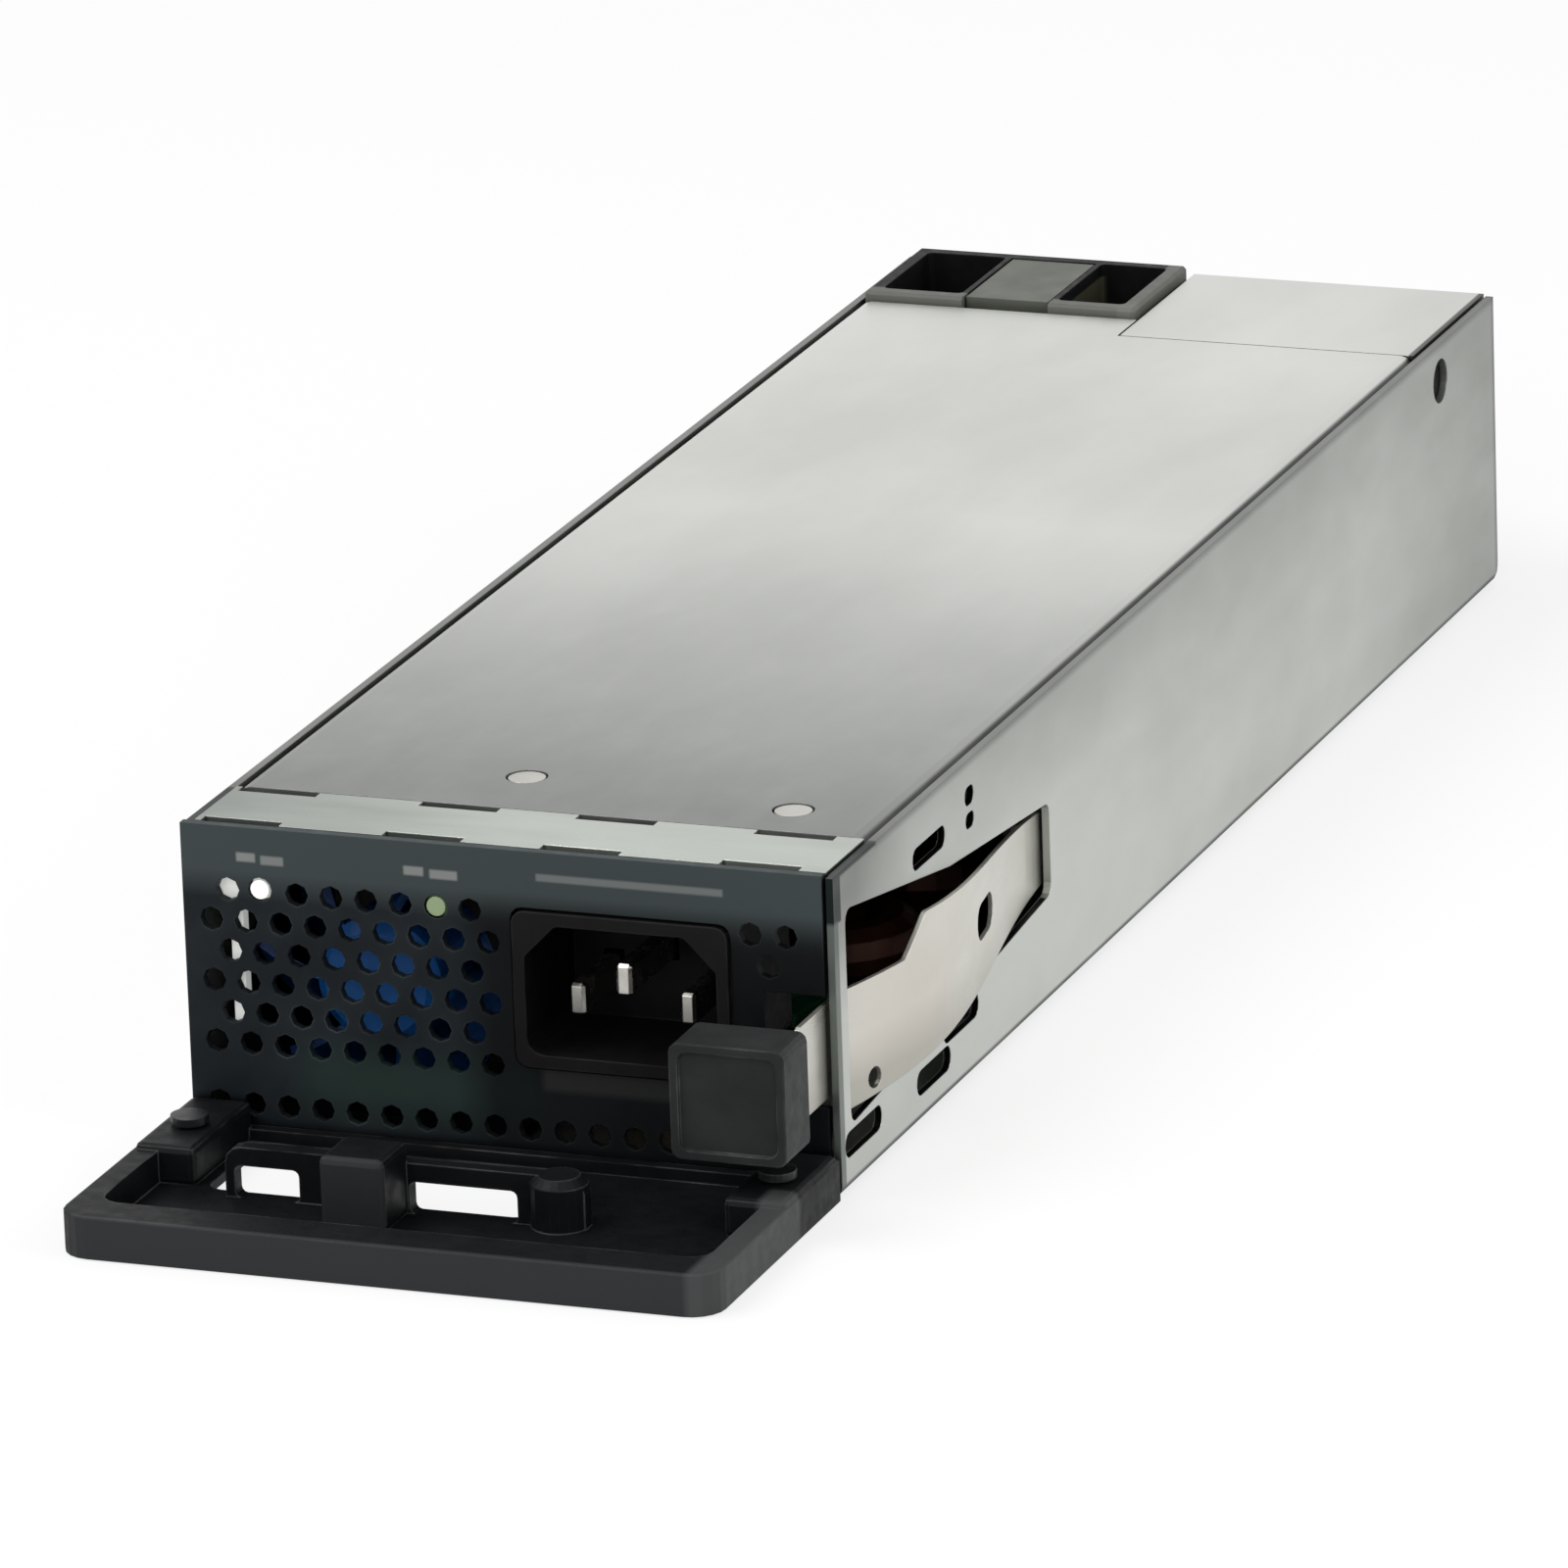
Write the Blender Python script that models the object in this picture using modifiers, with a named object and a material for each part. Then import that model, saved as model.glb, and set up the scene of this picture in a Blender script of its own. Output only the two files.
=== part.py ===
"""Hot-plug power supply module, built as the separate pieces that a bench would show.

Metres, +Z up, front towards -Y. The origin is the centre of the case's underside.
A depth is measured back from the front panel's outer face, so a negative one lies in front of it.
"""

import math

import bmesh
import bpy
from mathutils import Matrix

MM = 0.001

# Case
CASE_WIDTH = 82.5 * MM
CASE_HEIGHT = 40.0 * MM
CASE_LENGTH = 255.0 * MM
SHEET = 1.0 * MM
BEND_RADIUS = 1.6 * MM
GAP = 0.3 * MM  # between pieces that seat on each other
EDGE_SETBACK = 0.3 * MM  # the right wall's bare front edge behind the panel's face
PANEL_THICKNESS = 1.2 * MM
WALL_CORNER = 3.0 * MM  # the right wall's rounded lower rear corner

# Top cover, the strip in front of it and the screws through both
STRIP_REAR = 14.7 * MM
COVER_SKIRT = 4.0 * MM
PANEL_FLANGE_REACH = 32.0 * MM
COVER_SCREWS = ((13.25 * MM, 23.0 * MM), (48.75 * MM, 27.0 * MM))  # from the right side, and depth
SCREW_HEAD_RADIUS = 2.3 * MM
SCREW_HEAD_HEIGHT = 1.0 * MM
SCREW_SHANK_RADIUS = 1.2 * MM
STRIP_NOTCHES = (-34.2 * MM, -11.0 * MM, 9.0 * MM, 31.6 * MM)
NOTCH_WIDTH = 10.0 * MM
NOTCH_DEPTH = 1.6 * MM

# Front panel: staggered vent holes, status lights and the mains inlet
VENT_PITCH = 4.42 * MM
VENT_RADIUS = 1.5 * MM
VENT_ROWS = 8
VENT_SIDES = 8
VENT_EDGE = 2.6 * MM
VENT_START = 0.22  # of a pitch, from the edge to the first hole
VENT_FOOT = 4.0 * MM  # of panel below the lowest row's centres
LIGHT_RADIUS = 1.2 * MM
LIGHT_SPOTS = ((9.95 * MM, 7.6 * MM), (32.45 * MM, 7.8 * MM))  # from the left side, and below the top
LIGHT_FLANGE = 1.0 * MM
GUIDE_THICKNESS = 1.8 * MM
GUIDE_WIDTH = 1.6 * MM
GUIDE_SPOT = 6.1 * MM  # from the left side to the middle of the guide's upright
GUIDE_FOOT = 14.0 * MM
INLET_WIDTH = 27.2 * MM
INLET_HEIGHT = 19.4 * MM
INLET_DEPTH = 20.0 * MM
INLET_PROUD = 0.5 * MM
INLET_CORNER = 1.5 * MM
INLET_RAISE = 3.0 * MM  # above the case's mid height
SOCKET_WIDTH = 24.2 * MM
SOCKET_HEIGHT = 16.2 * MM
SOCKET_DEPTH = 15.5 * MM
SOCKET_CHAMFER = 4.0 * MM
SOCKET_CORNER = 2.0 * MM
PIN_SPREAD = 7.0 * MM
PIN_THICKNESS = 2.0 * MM
PIN_HEIGHT = 4.0 * MM
PIN_TIP = 3.0 * MM
EARTH_TIP = 0.5 * MM
EARTH_RAISE = 3.8 * MM
PIN_TAIL = 3.0 * MM

# Fan
FAN_DEPTH = 28.0 * MM
FAN_BEHIND_PANEL = 5.0 * MM
FAN_WALL_CLEARANCE = 2.5 * MM
FAN_RIM = 1.5 * MM
FAN_CORNER = 2.0 * MM
FAN_TIP_CLEARANCE = 0.8 * MM
FAN_HUB_RADIUS = 8.0 * MM
FAN_HUB_EDGE = 1.5 * MM
FAN_BLADES = 7
BLADE_THICKNESS = 1.1 * MM
BLADE_TWIST = math.radians(38)
SHAFT_RADIUS = 1.0 * MM
MOTOR_PLATE = 2.0 * MM
STRUT_WIDTH = 2.2 * MM

# Spring latch: a bowed leaf that leaves the case through a tapered window in the right wall
WINDOW_FRONT = 4.0 * MM
WINDOW_REAR = 75.5 * MM
WINDOW_FRONT_LOW = -12.0 * MM  # heights of the window and the leaf are from the mid height
WINDOW_FRONT_HIGH = 14.8 * MM
WINDOW_REAR_LOW = -6.2 * MM
WINDOW_REAR_HIGH = 5.5 * MM
WINDOW_MIDDLE = 40.0 * MM
WINDOW_SAG = 1.5 * MM  # of its upper edge at the middle
WINDOW_CORNER = 1.5 * MM
LEAF_THICKNESS = 0.6 * MM
LEAF_WALL_GAP = 0.45 * MM
LEAF_BOW = 4.45 * MM
LEAF_BOW_FRONT = 5.0 * MM
LEAF_BOW_SKEW = 1.56
LEAF_EDGE = 0.9 * MM  # leaf to the window's lower edge
LEAF_TOP_EDGE = 1.5 * MM  # leaf to the window's upper edge, at its rear
LEAF_LOW_NECK = 3.0 * MM
LEAF_LOW_SHOULDER = 5.5 * MM
LEAF_HIGH_NECK = 18.5 * MM
LEAF_HIGH_SHOULDER = 24.0 * MM
LEAF_SHOULDER_HIGH = 8.3 * MM
LEAF_CORNER = 1.0 * MM
TONGUE_LOW = -7.5 * MM
TONGUE_HIGH = 4.0 * MM
TONGUE_REACH = 14.0 * MM
TONGUE_TIP_LOW = -6.0 * MM
TONGUE_TIP_HIGH = 2.0 * MM
LEAF_ROOT = 12.5 * MM  # of leaf behind the window
STUD_BEHIND_WINDOW = 8.5 * MM
STUD_SPREAD = 5.0 * MM
STUD_SHANK = 1.2 * MM
STUD_HEAD = 2.2 * MM
STUD_HEAD_HEIGHT = 0.7 * MM
LATCH_TRAVEL = 6.9 * MM  # room that the pressed tongue needs in the panel's notch
NOTCH_CLEARANCE = 1.2 * MM
LEAF_SLOT = (47.6 * MM, 8.6 * MM, 4.6 * MM)  # depth of its centre, length, height
LEAF_HOLES = ((11.3 * MM, -8.4 * MM, 1.35 * MM), (5.2 * MM, -6.3 * MM, 0.8 * MM))

# Thumb button on the tongue
BUTTON_FRONT = 17.0 * MM
BUTTON_REAR = 9.0 * MM
BUTTON_INSET = 0.25 * MM  # from the case's right side
BUTTON_WIDTH = 14.4 * MM
BUTTON_LOW = -10.3 * MM
BUTTON_HIGH = 4.0 * MM
BUTTON_CORNER = 1.2 * MM
BUTTON_RIM = 1.1 * MM
BUTTON_DISH = 0.5 * MM

# Handle shelf in front of the case
TRAY_REACH = 42.5 * MM
TRAY_RIM = 5.2 * MM
TRAY_FLOOR = 1.2 * MM
TRAY_CORNER = 4.0 * MM
TRAY_SIDE = 3.2 * MM
TRAY_LIP = 6.0 * MM
TRAY_BACK = 1.6 * MM
TRAY_BACK_HEIGHT = 2.8 * MM
TRAY_INNER_CORNER = 2.5 * MM
SLOT_LEFT = -32.0 * MM
SLOT_RIGHT = 9.0 * MM
SLOT_FRONT = 18.7 * MM
SLOT_REAR = 5.0 * MM
SLOT_CORNER = 2.0 * MM
BRIDGE_LEFT = -28.5 * MM
BRIDGE_RIGHT = 17.0 * MM
BRIDGE_THICKNESS = 2.0 * MM
BRIDGE_HEIGHT = 7.5 * MM
BRIDGE_CORNER = 2.0 * MM
BRIDGE_WINDOWS = ((-27.3 * MM, -19.1 * MM), (-5.1 * MM, 8.5 * MM))
BRIDGE_WINDOW_HIGH = 5.2 * MM
BLOCK_LEFT = -13.5 * MM
BLOCK_RIGHT = -5.4 * MM
BLOCK_REACH = 8.5 * MM
BLOCK_HEIGHT = 10.0 * MM
POST_RADIUS = 3.5 * MM
EAR_WIDTH = 8.0 * MM
EAR_FRONT = 18.5 * MM
EAR_HEIGHT = 5.9 * MM
TAB_WIDTH = 6.0 * MM
TAB_REACH = 14.5 * MM
TAB_MARGIN = 0.1 * MM
EAR_SCREW_DEPTH = 10.4 * MM

# Slots and the hole in the right wall: depth and height of the centre, length, height
WALL_SLOTS = (
    (42.3 * MM, 8.7 * MM, 12.6 * MM, 3.2 * MM),
    (32.4 * MM, 5.3 * MM, 12.0 * MM, 3.2 * MM),
    (8.0 * MM, 5.9 * MM, 12.6 * MM, 3.2 * MM),
)
# The same above the window, with the centre's distance below the top in place of its height
UPPER_SLOTS = (
    (33.0 * MM, 6.9 * MM, 11.4 * MM, 2.8 * MM),
    (47.4 * MM, 4.8 * MM, 3.2 * MM, 2.4 * MM),
    (47.4 * MM, 7.9 * MM, 3.0 * MM, 2.0 * MM),
)
WALL_HOLE_RADIUS = 3.0 * MM
WALL_HOLE_FROM_REAR = 23.2 * MM
WALL_HOLE_BELOW_TOP = 5.4 * MM

# Rear end: the cover's recess, the return of the rear panel and the connector
RECESS_LENGTH = 23.0 * MM
RETURN_LENGTH = 30.8 * MM
DIVIDE_X = -1.0 * MM
REAR_VENT_PITCH = 5.6 * MM
REAR_VENT_RADIUS = 2.2 * MM
REAR_VENT_COLUMNS = 6
REAR_VENT_ROWS = 5
WELL_WALL = 2.0 * MM
WELL_FLOOR = 20.0 * MM
BAND_LEFT = -26.5 * MM
BAND_RIGHT = -13.0 * MM
CONNECTOR_PROUD = 1.2 * MM  # above the cover
CARD_THICKNESS = 1.6 * MM
BLADE_SLOTS = 4
BLADE_SLOT_HEIGHT = 7.0 * MM
BLADE_SLOT_WIDTH = 5.0 * MM
BLADE_SLOT_DEPTH = 12.0 * MM
CONTACT_THICKNESS = 1.2 * MM

# Main board and what stands on it
BOARD_THICKNESS = 1.6 * MM
STANDOFF_HEIGHT = 4.0 * MM
STANDOFF_RADIUS = 2.6 * MM
BOARD_BEHIND_FAN = 8.0 * MM
BOARD_LEFT_CLEARANCE = 2.2 * MM
BOARD_RIGHT_CLEARANCE = 7.0 * MM
BOARD_REAR_CLEARANCE = 4.0 * MM
STANDOFF_INSET = 4.5 * MM
PART_CLEARANCE = 2.0 * MM  # between lanes of parts
OUTPUT_CAPACITORS = 3
OUTPUT_CAPACITOR_HEIGHT = 16.0 * MM
FILTER_DEPTH = 9.0 * MM
FILTER_HEIGHT = 16.0 * MM
HEATSINK_FINS = 6
HEATSINK_FIN = 1.4 * MM
HEATSINK_BASE = 3.0 * MM
HEATSINK_WIDTH = 24.0 * MM
CORE_WIDTH = 34.0 * MM
CORE_DEPTH = 12.0 * MM
CORE_YOKE = 5.0 * MM
CORE_LEG = 8.0 * MM
COIL_CORNER = 4.0 * MM
TALL_CLEARANCE = 2.0 * MM  # over the tallest parts of the board

# Shares of the board's free length, between its front edge and the connector
BULK_RADIUS_SHARE = 0.058
BULK_PLACES = (0.13, 0.27)
CHOKE_RADIUS_SHARE = 0.056
CHOKE_PLACE = 0.10
INDUCTOR_RADIUS_SHARE = 0.072
INDUCTOR_PLACE = 0.25
HEATSINK_LENGTH_SHARE = 0.17
INPUT_HEATSINK_PLACE = 0.45
TRANSFORMER_PLACE = 0.67
OUTPUT_PLACE = 0.86
WIRE_SHARE = 0.33  # of a ring core's whole radius

# Rounded edges of moulded parts and of small metal parts
SOFT_EDGE = 0.8 * MM
FINE_EDGE = 0.4 * MM

# Worked out from the sizes above
HALF_WIDTH = CASE_WIDTH / 2
FRONT = -CASE_LENGTH / 2
REAR = CASE_LENGTH / 2
MID_HEIGHT = CASE_HEIGHT / 2
INNER_X = HALF_WIDTH - SHEET
COVER_X = INNER_X - GAP
UNDER_COVER = CASE_HEIGHT - SHEET
FLANGE_TOP = UNDER_COVER - GAP
FLANGE_BOTTOM = FLANGE_TOP - SHEET
SEAT = SHEET + GAP  # lowest height of what stands on the case's bottom
PANEL_REAR = FRONT + PANEL_THICKNESS
FAN_SIDE = FLANGE_BOTTOM - GAP - SEAT
FAN_X = -INNER_X + FAN_WALL_CLEARANCE + FAN_SIDE / 2
FAN_Z = SEAT + FAN_SIDE / 2
FAN_FRONT = PANEL_REAR + FAN_BEHIND_PANEL
FAN_REAR = FAN_FRONT + FAN_DEPTH
FAN_BORE = FAN_SIDE / 2 - FAN_RIM
INLET_X = FAN_X + FAN_SIDE / 2 + FAN_WALL_CLEARANCE + INLET_WIDTH / 2
INLET_Z = MID_HEIGHT + INLET_RAISE
PIN_Z = INLET_Z - 2.0 * MM
LEAF_X = INNER_X - LEAF_WALL_GAP - LEAF_THICKNESS / 2
PIVOT_Y = FRONT + WINDOW_REAR + STUD_BEHIND_WINDOW
BOARD_BOTTOM = SEAT + STANDOFF_HEIGHT + GAP
BOARD_TOP = BOARD_BOTTOM + BOARD_THICKNESS
BOARD_SEAT = BOARD_TOP + GAP
BOARD_LEFT = -INNER_X + BOARD_LEFT_CLEARANCE
BOARD_RIGHT = INNER_X - BOARD_RIGHT_CLEARANCE
BOARD_FRONT = FAN_REAR + BOARD_BEHIND_FAN
BOARD_REAR = REAR - BOARD_REAR_CLEARANCE
BOARD_MIDDLE = (BOARD_LEFT + BOARD_RIGHT) / 2
CONNECTOR_FRONT = REAR - RECESS_LENGTH + 2 * GAP
FREE_LENGTH = CONNECTOR_FRONT - BOARD_FRONT
BOARD_TALL = UNDER_COVER - TALL_CLEARANCE
TRAY_REAR = FRONT - GAP
BRIDGE_Y = FRONT - SLOT_FRONT - BRIDGE_THICKNESS / 2

# Colour, roughness and metallic value of each finish
FINISHES = {
    "galvanised": ((0.50, 0.52, 0.50), 0.42, 1.0),
    "bright_steel": ((0.72, 0.73, 0.70), 0.30, 1.0),
    "panel_paint": ((0.055, 0.063, 0.068), 0.45, 0.0),
    "black_plastic": ((0.020, 0.021, 0.023), 0.50, 0.0),
    "black_steel": ((0.030, 0.031, 0.033), 0.40, 0.6),
    "blue_plastic": ((0.020, 0.085, 0.220), 0.45, 0.0),
    "clear_lens": ((0.55, 0.70, 0.55), 0.20, 0.0),
    "nickel": ((0.62, 0.60, 0.56), 0.25, 1.0),
    "board_green": ((0.020, 0.110, 0.055), 0.50, 0.0),
    "aluminium": ((0.60, 0.61, 0.62), 0.40, 1.0),
    "copper": ((0.65, 0.28, 0.12), 0.35, 1.0),
    "ferrite": ((0.045, 0.043, 0.042), 0.60, 0.0),
    "film_yellow": ((0.70, 0.50, 0.08), 0.45, 0.0),
}

# Local X and Y of a flat outline, and the axis that it is filled along
PLANES = {
    "XY": Matrix.Identity(4),
    "XZ": Matrix(((1, 0, 0, 0), (0, 0, -1, 0), (0, 1, 0, 0), (0, 0, 0, 1))),
    "YZ": Matrix(((0, 0, 1, 0), (1, 0, 0, 0), (0, 1, 0, 0), (0, 0, 0, 1))),
}
NORMAL_AXIS = {"XY": 2, "XZ": 1, "YZ": 0}

# Rotations that point the top of a turned profile up, to the front or into the case's left
TURNS = {
    "Z": (0, 0, 0),
    "Y": (math.radians(90), 0, 0),
    "X": (0, math.radians(-90), 0),
}


def clear_scene():
    for obj in list(bpy.data.objects):
        bpy.data.objects.remove(obj, do_unlink=True)


def new_collection(name):
    collection = bpy.data.collections.new(name)
    bpy.context.scene.collection.children.link(collection)
    return collection


def finish_material(finish):
    """The material of this finish, made the first time that it is asked for."""
    material = bpy.data.materials.get(finish)
    if material:
        return material
    colour, roughness, metallic = FINISHES[finish]
    material = bpy.data.materials.new(finish)
    material.use_nodes = True
    shader = material.node_tree.nodes["Principled BSDF"]
    shader.inputs["Base Color"].default_value = (*colour, 1)
    shader.inputs["Roughness"].default_value = roughness
    shader.inputs["Metallic"].default_value = metallic
    return material


def place(obj, finish):
    """Links a part with its finish, or a cutter where the finish is None."""
    if finish is None:
        CUTTERS.objects.link(obj)
        obj.hide_render = True
        obj.display_type = "WIRE"
        return obj
    PARTS.objects.link(obj)
    obj.data.materials.clear()
    obj.data.materials.append(finish_material(finish))
    return obj


def smooth(obj):
    obj.data.shade_smooth()
    obj.data.set_sharp_from_angle(angle=math.radians(35))
    return obj


def bevel(obj, width, segments=2):
    """Rounds every sharp edge that the object has so far."""
    modifier = obj.modifiers.new("Rounded edges", "BEVEL")
    modifier.width = width
    modifier.segments = segments
    modifier.limit_method = "ANGLE"
    modifier.angle_limit = math.radians(40)
    return obj


def boolean(obj, other, operation):
    modifier = obj.modifiers.new(operation.title(), "BOOLEAN")
    modifier.operation = operation
    modifier.solver = "EXACT"
    modifier.object = other
    return obj


def cut(obj, *cutters):
    for cutter in cutters:
        boolean(obj, cutter, "DIFFERENCE")
    return obj


def join(obj, *others):
    for other in others:
        boolean(obj, other, "UNION")
    return obj


def box(name, xs, ys, zs, finish=None):
    """A block between these limits on each axis."""
    low = [min(pair) for pair in (xs, ys, zs)]
    high = [max(pair) for pair in (xs, ys, zs)]
    mesh = bpy.data.meshes.new(name)
    cube = bmesh.new()
    bmesh.ops.create_cube(cube, size=1)
    bmesh.ops.scale(cube, vec=[b - a for a, b in zip(low, high)], verts=cube.verts)
    cube.to_mesh(mesh)
    cube.free()
    obj = bpy.data.objects.new(name, mesh)
    obj.location = [(a + b) / 2 for a, b in zip(low, high)]
    return place(obj, finish)


def circle(u, v, radius, sides=20, turn=0.0):
    angles = [turn + 2 * math.pi * k / sides for k in range(sides)]
    return [(u + radius * math.cos(a), v + radius * math.sin(a)) for a in angles]


def rectangle(us, vs):
    return [(us[0], vs[0]), (us[1], vs[0]), (us[1], vs[1]), (us[0], vs[1])]


def rounded(corners, radius, steps=3):
    """This outline with its corners as arcs. The radius is one value, or one for each corner."""
    radii = radius if isinstance(radius, (list, tuple)) else [radius] * len(corners)
    outline = []
    for k, (u, v) in enumerate(corners):
        before = corners[k - 1]
        after = corners[(k + 1) % len(corners)]
        if radii[k] == 0:
            outline.append((u, v))
            continue
        arm_in = (before[0] - u, before[1] - v)
        arm_out = (after[0] - u, after[1] - v)
        length_in = math.hypot(*arm_in)
        length_out = math.hypot(*arm_out)
        unit_in = (arm_in[0] / length_in, arm_in[1] / length_in)
        unit_out = (arm_out[0] / length_out, arm_out[1] / length_out)
        between = math.acos(unit_in[0] * unit_out[0] + unit_in[1] * unit_out[1])
        most = 0.45 * min(length_in, length_out) * math.tan(between / 2)
        arc = min(radii[k], most)
        reach = arc / math.tan(between / 2)
        split = (unit_in[0] + unit_out[0], unit_in[1] + unit_out[1])
        to_centre = arc / math.sin(between / 2) / math.hypot(*split)
        centre = (u + split[0] * to_centre, v + split[1] * to_centre)
        first = math.atan2(v + unit_in[1] * reach - centre[1], u + unit_in[0] * reach - centre[0])
        last = math.atan2(v + unit_out[1] * reach - centre[1], u + unit_out[0] * reach - centre[0])
        sweep = (last - first + math.pi) % (2 * math.pi) - math.pi
        for step in range(steps + 1):
            angle = first + sweep * step / steps
            outline.append((centre[0] + arc * math.cos(angle), centre[1] + arc * math.sin(angle)))
    return outline


def extrusion(name, outlines, plane, ends, finish=None):
    """A flat outline, with any holes as further outlines, filled between two ends of its axis."""
    curve = bpy.data.curves.new(name, "CURVE")
    curve.dimensions = "2D"
    curve.fill_mode = "BOTH"
    curve.extrude = abs(ends[1] - ends[0]) / 2
    for outline in outlines:
        spline = curve.splines.new("POLY")
        spline.points.add(len(outline) - 1)
        spline.use_cyclic_u = True
        for point, (u, v) in zip(spline.points, outline):
            point.co = (u, v, 0, 1)
    drawn = bpy.data.objects.new(name + "_outline", curve)
    shift = [0.0, 0.0, 0.0]
    shift[NORMAL_AXIS[plane]] = (ends[0] + ends[1]) / 2
    drawn.matrix_world = Matrix.Translation(shift) @ PLANES[plane]
    CUTTERS.objects.link(drawn)
    bpy.context.view_layer.update()
    graph = bpy.context.evaluated_depsgraph_get()
    mesh = bpy.data.meshes.new_from_object(drawn.evaluated_get(graph))
    solid = bmesh.new()
    solid.from_mesh(mesh)
    bmesh.ops.remove_doubles(solid, verts=solid.verts, dist=1e-6)
    bmesh.ops.recalc_face_normals(solid, faces=solid.faces)
    solid.to_mesh(mesh)
    solid.free()
    obj = bpy.data.objects.new(name, mesh)
    obj.matrix_world = drawn.matrix_world.copy()
    bpy.data.objects.remove(drawn, do_unlink=True)
    return place(obj, finish)


def turned(name, profile, location, finish=None, axis="Z", steps=20):
    """A solid of revolution. Its profile of (radius, height) runs from the top of the axis down."""
    mesh = bpy.data.meshes.new(name)
    line = bmesh.new()
    points = [line.verts.new((radius, 0, height)) for radius, height in profile]
    for first, second in zip(points, points[1:]):
        line.edges.new((first, second))
    line.to_mesh(mesh)
    line.free()
    obj = bpy.data.objects.new(name, mesh)
    obj.location = location
    obj.rotation_euler = TURNS[axis]
    spin = obj.modifiers.new("Revolve", "SCREW")
    spin.steps = steps
    spin.render_steps = steps
    spin.use_merge_vertices = True
    spin.merge_threshold = 1e-6
    spin.use_smooth_shade = True
    return place(obj, finish)


def headed_pin(name, seat, head_radius, head_height, shank_radius, length, axis="Z", finish="nickel"):
    """A fastener whose head starts at this seat, with its shank running on below it."""
    profile = [
        (0, head_height),
        (head_radius, head_height),
        (head_radius, 0),
        (shank_radius, 0),
        (shank_radius, -length),
        (0, -length),
    ]
    return turned(name, profile, seat, finish, axis)


def depth(distance):
    """World Y of a depth behind the front panel's outer face."""
    return FRONT + distance


def level(height):
    """World Z of a height above the case's mid height."""
    return MID_HEIGHT + height


def folded_channel(name, half_width, ys, open_z, closed_z, finish):
    """A channel of bent sheet, open towards open_z, with its outer faces on the given sizes."""
    mesh = bpy.data.meshes.new(name)
    skin = bmesh.new()
    bmesh.ops.create_cube(skin, size=1)
    size = (2 * half_width, ys[1] - ys[0], abs(open_z - closed_z))
    bmesh.ops.scale(skin, vec=size, verts=skin.verts)
    centre = (0, (ys[0] + ys[1]) / 2, (open_z + closed_z) / 2)
    bmesh.ops.translate(skin, vec=centre, verts=skin.verts)
    skin.normal_update()
    up = 1 if open_z > closed_z else -1
    open_faces = [f for f in skin.faces if abs(f.normal.y) > 0.5 or f.normal.z * up > 0.5]
    bmesh.ops.delete(skin, geom=open_faces, context="FACES")
    folds = [e for e in skin.edges if len(e.link_faces) == 2]
    bmesh.ops.bevel(skin, geom=folds, offset=BEND_RADIUS, segments=3, profile=0.5, affect="EDGES")
    skin.to_mesh(mesh)
    skin.free()
    obj = bpy.data.objects.new(name, mesh)
    wall = obj.modifiers.new("Sheet", "SOLIDIFY")
    wall.thickness = SHEET
    wall.offset = -1
    wall.use_even_offset = True
    return smooth(place(obj, finish))


def slot_outline(centre_u, centre_v, length, height):
    us = (centre_u - length / 2, centre_u + length / 2)
    vs = (centre_v - height / 2, centre_v + height / 2)
    return rounded(rectangle(us, vs), height * 0.45)


def wall_cutter(name, outline):
    """A cutter through the right wall, drawn as seen from the right."""
    return extrusion(name, [outline], "YZ", (INNER_X - 2 * SHEET, HALF_WIDTH + SHEET))


def window_height(at, high):
    """Height of the latch window's upper or lower edge at this depth."""
    front, rear = WINDOW_FRONT_HIGH, WINDOW_REAR_HIGH
    if not high:
        front, rear = WINDOW_FRONT_LOW, WINDOW_REAR_LOW
    share = (at - WINDOW_FRONT) / (WINDOW_REAR - WINDOW_FRONT)
    return level(front + (rear - front) * share)


def rear_corner_cutter():
    """What the rounded lower rear corner of the right wall leaves out."""
    steps = 6
    angles = [math.pi / 2 * k / steps for k in range(steps + 1)]
    outline = [
        (REAR - WALL_CORNER * (1 - math.sin(a)), WALL_CORNER * (1 - math.cos(a))) for a in angles
    ]
    outline += [(REAR + SHEET, WALL_CORNER), (REAR + SHEET, -SHEET), (REAR - WALL_CORNER, -SHEET)]
    return wall_cutter("rear_corner", outline)


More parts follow.
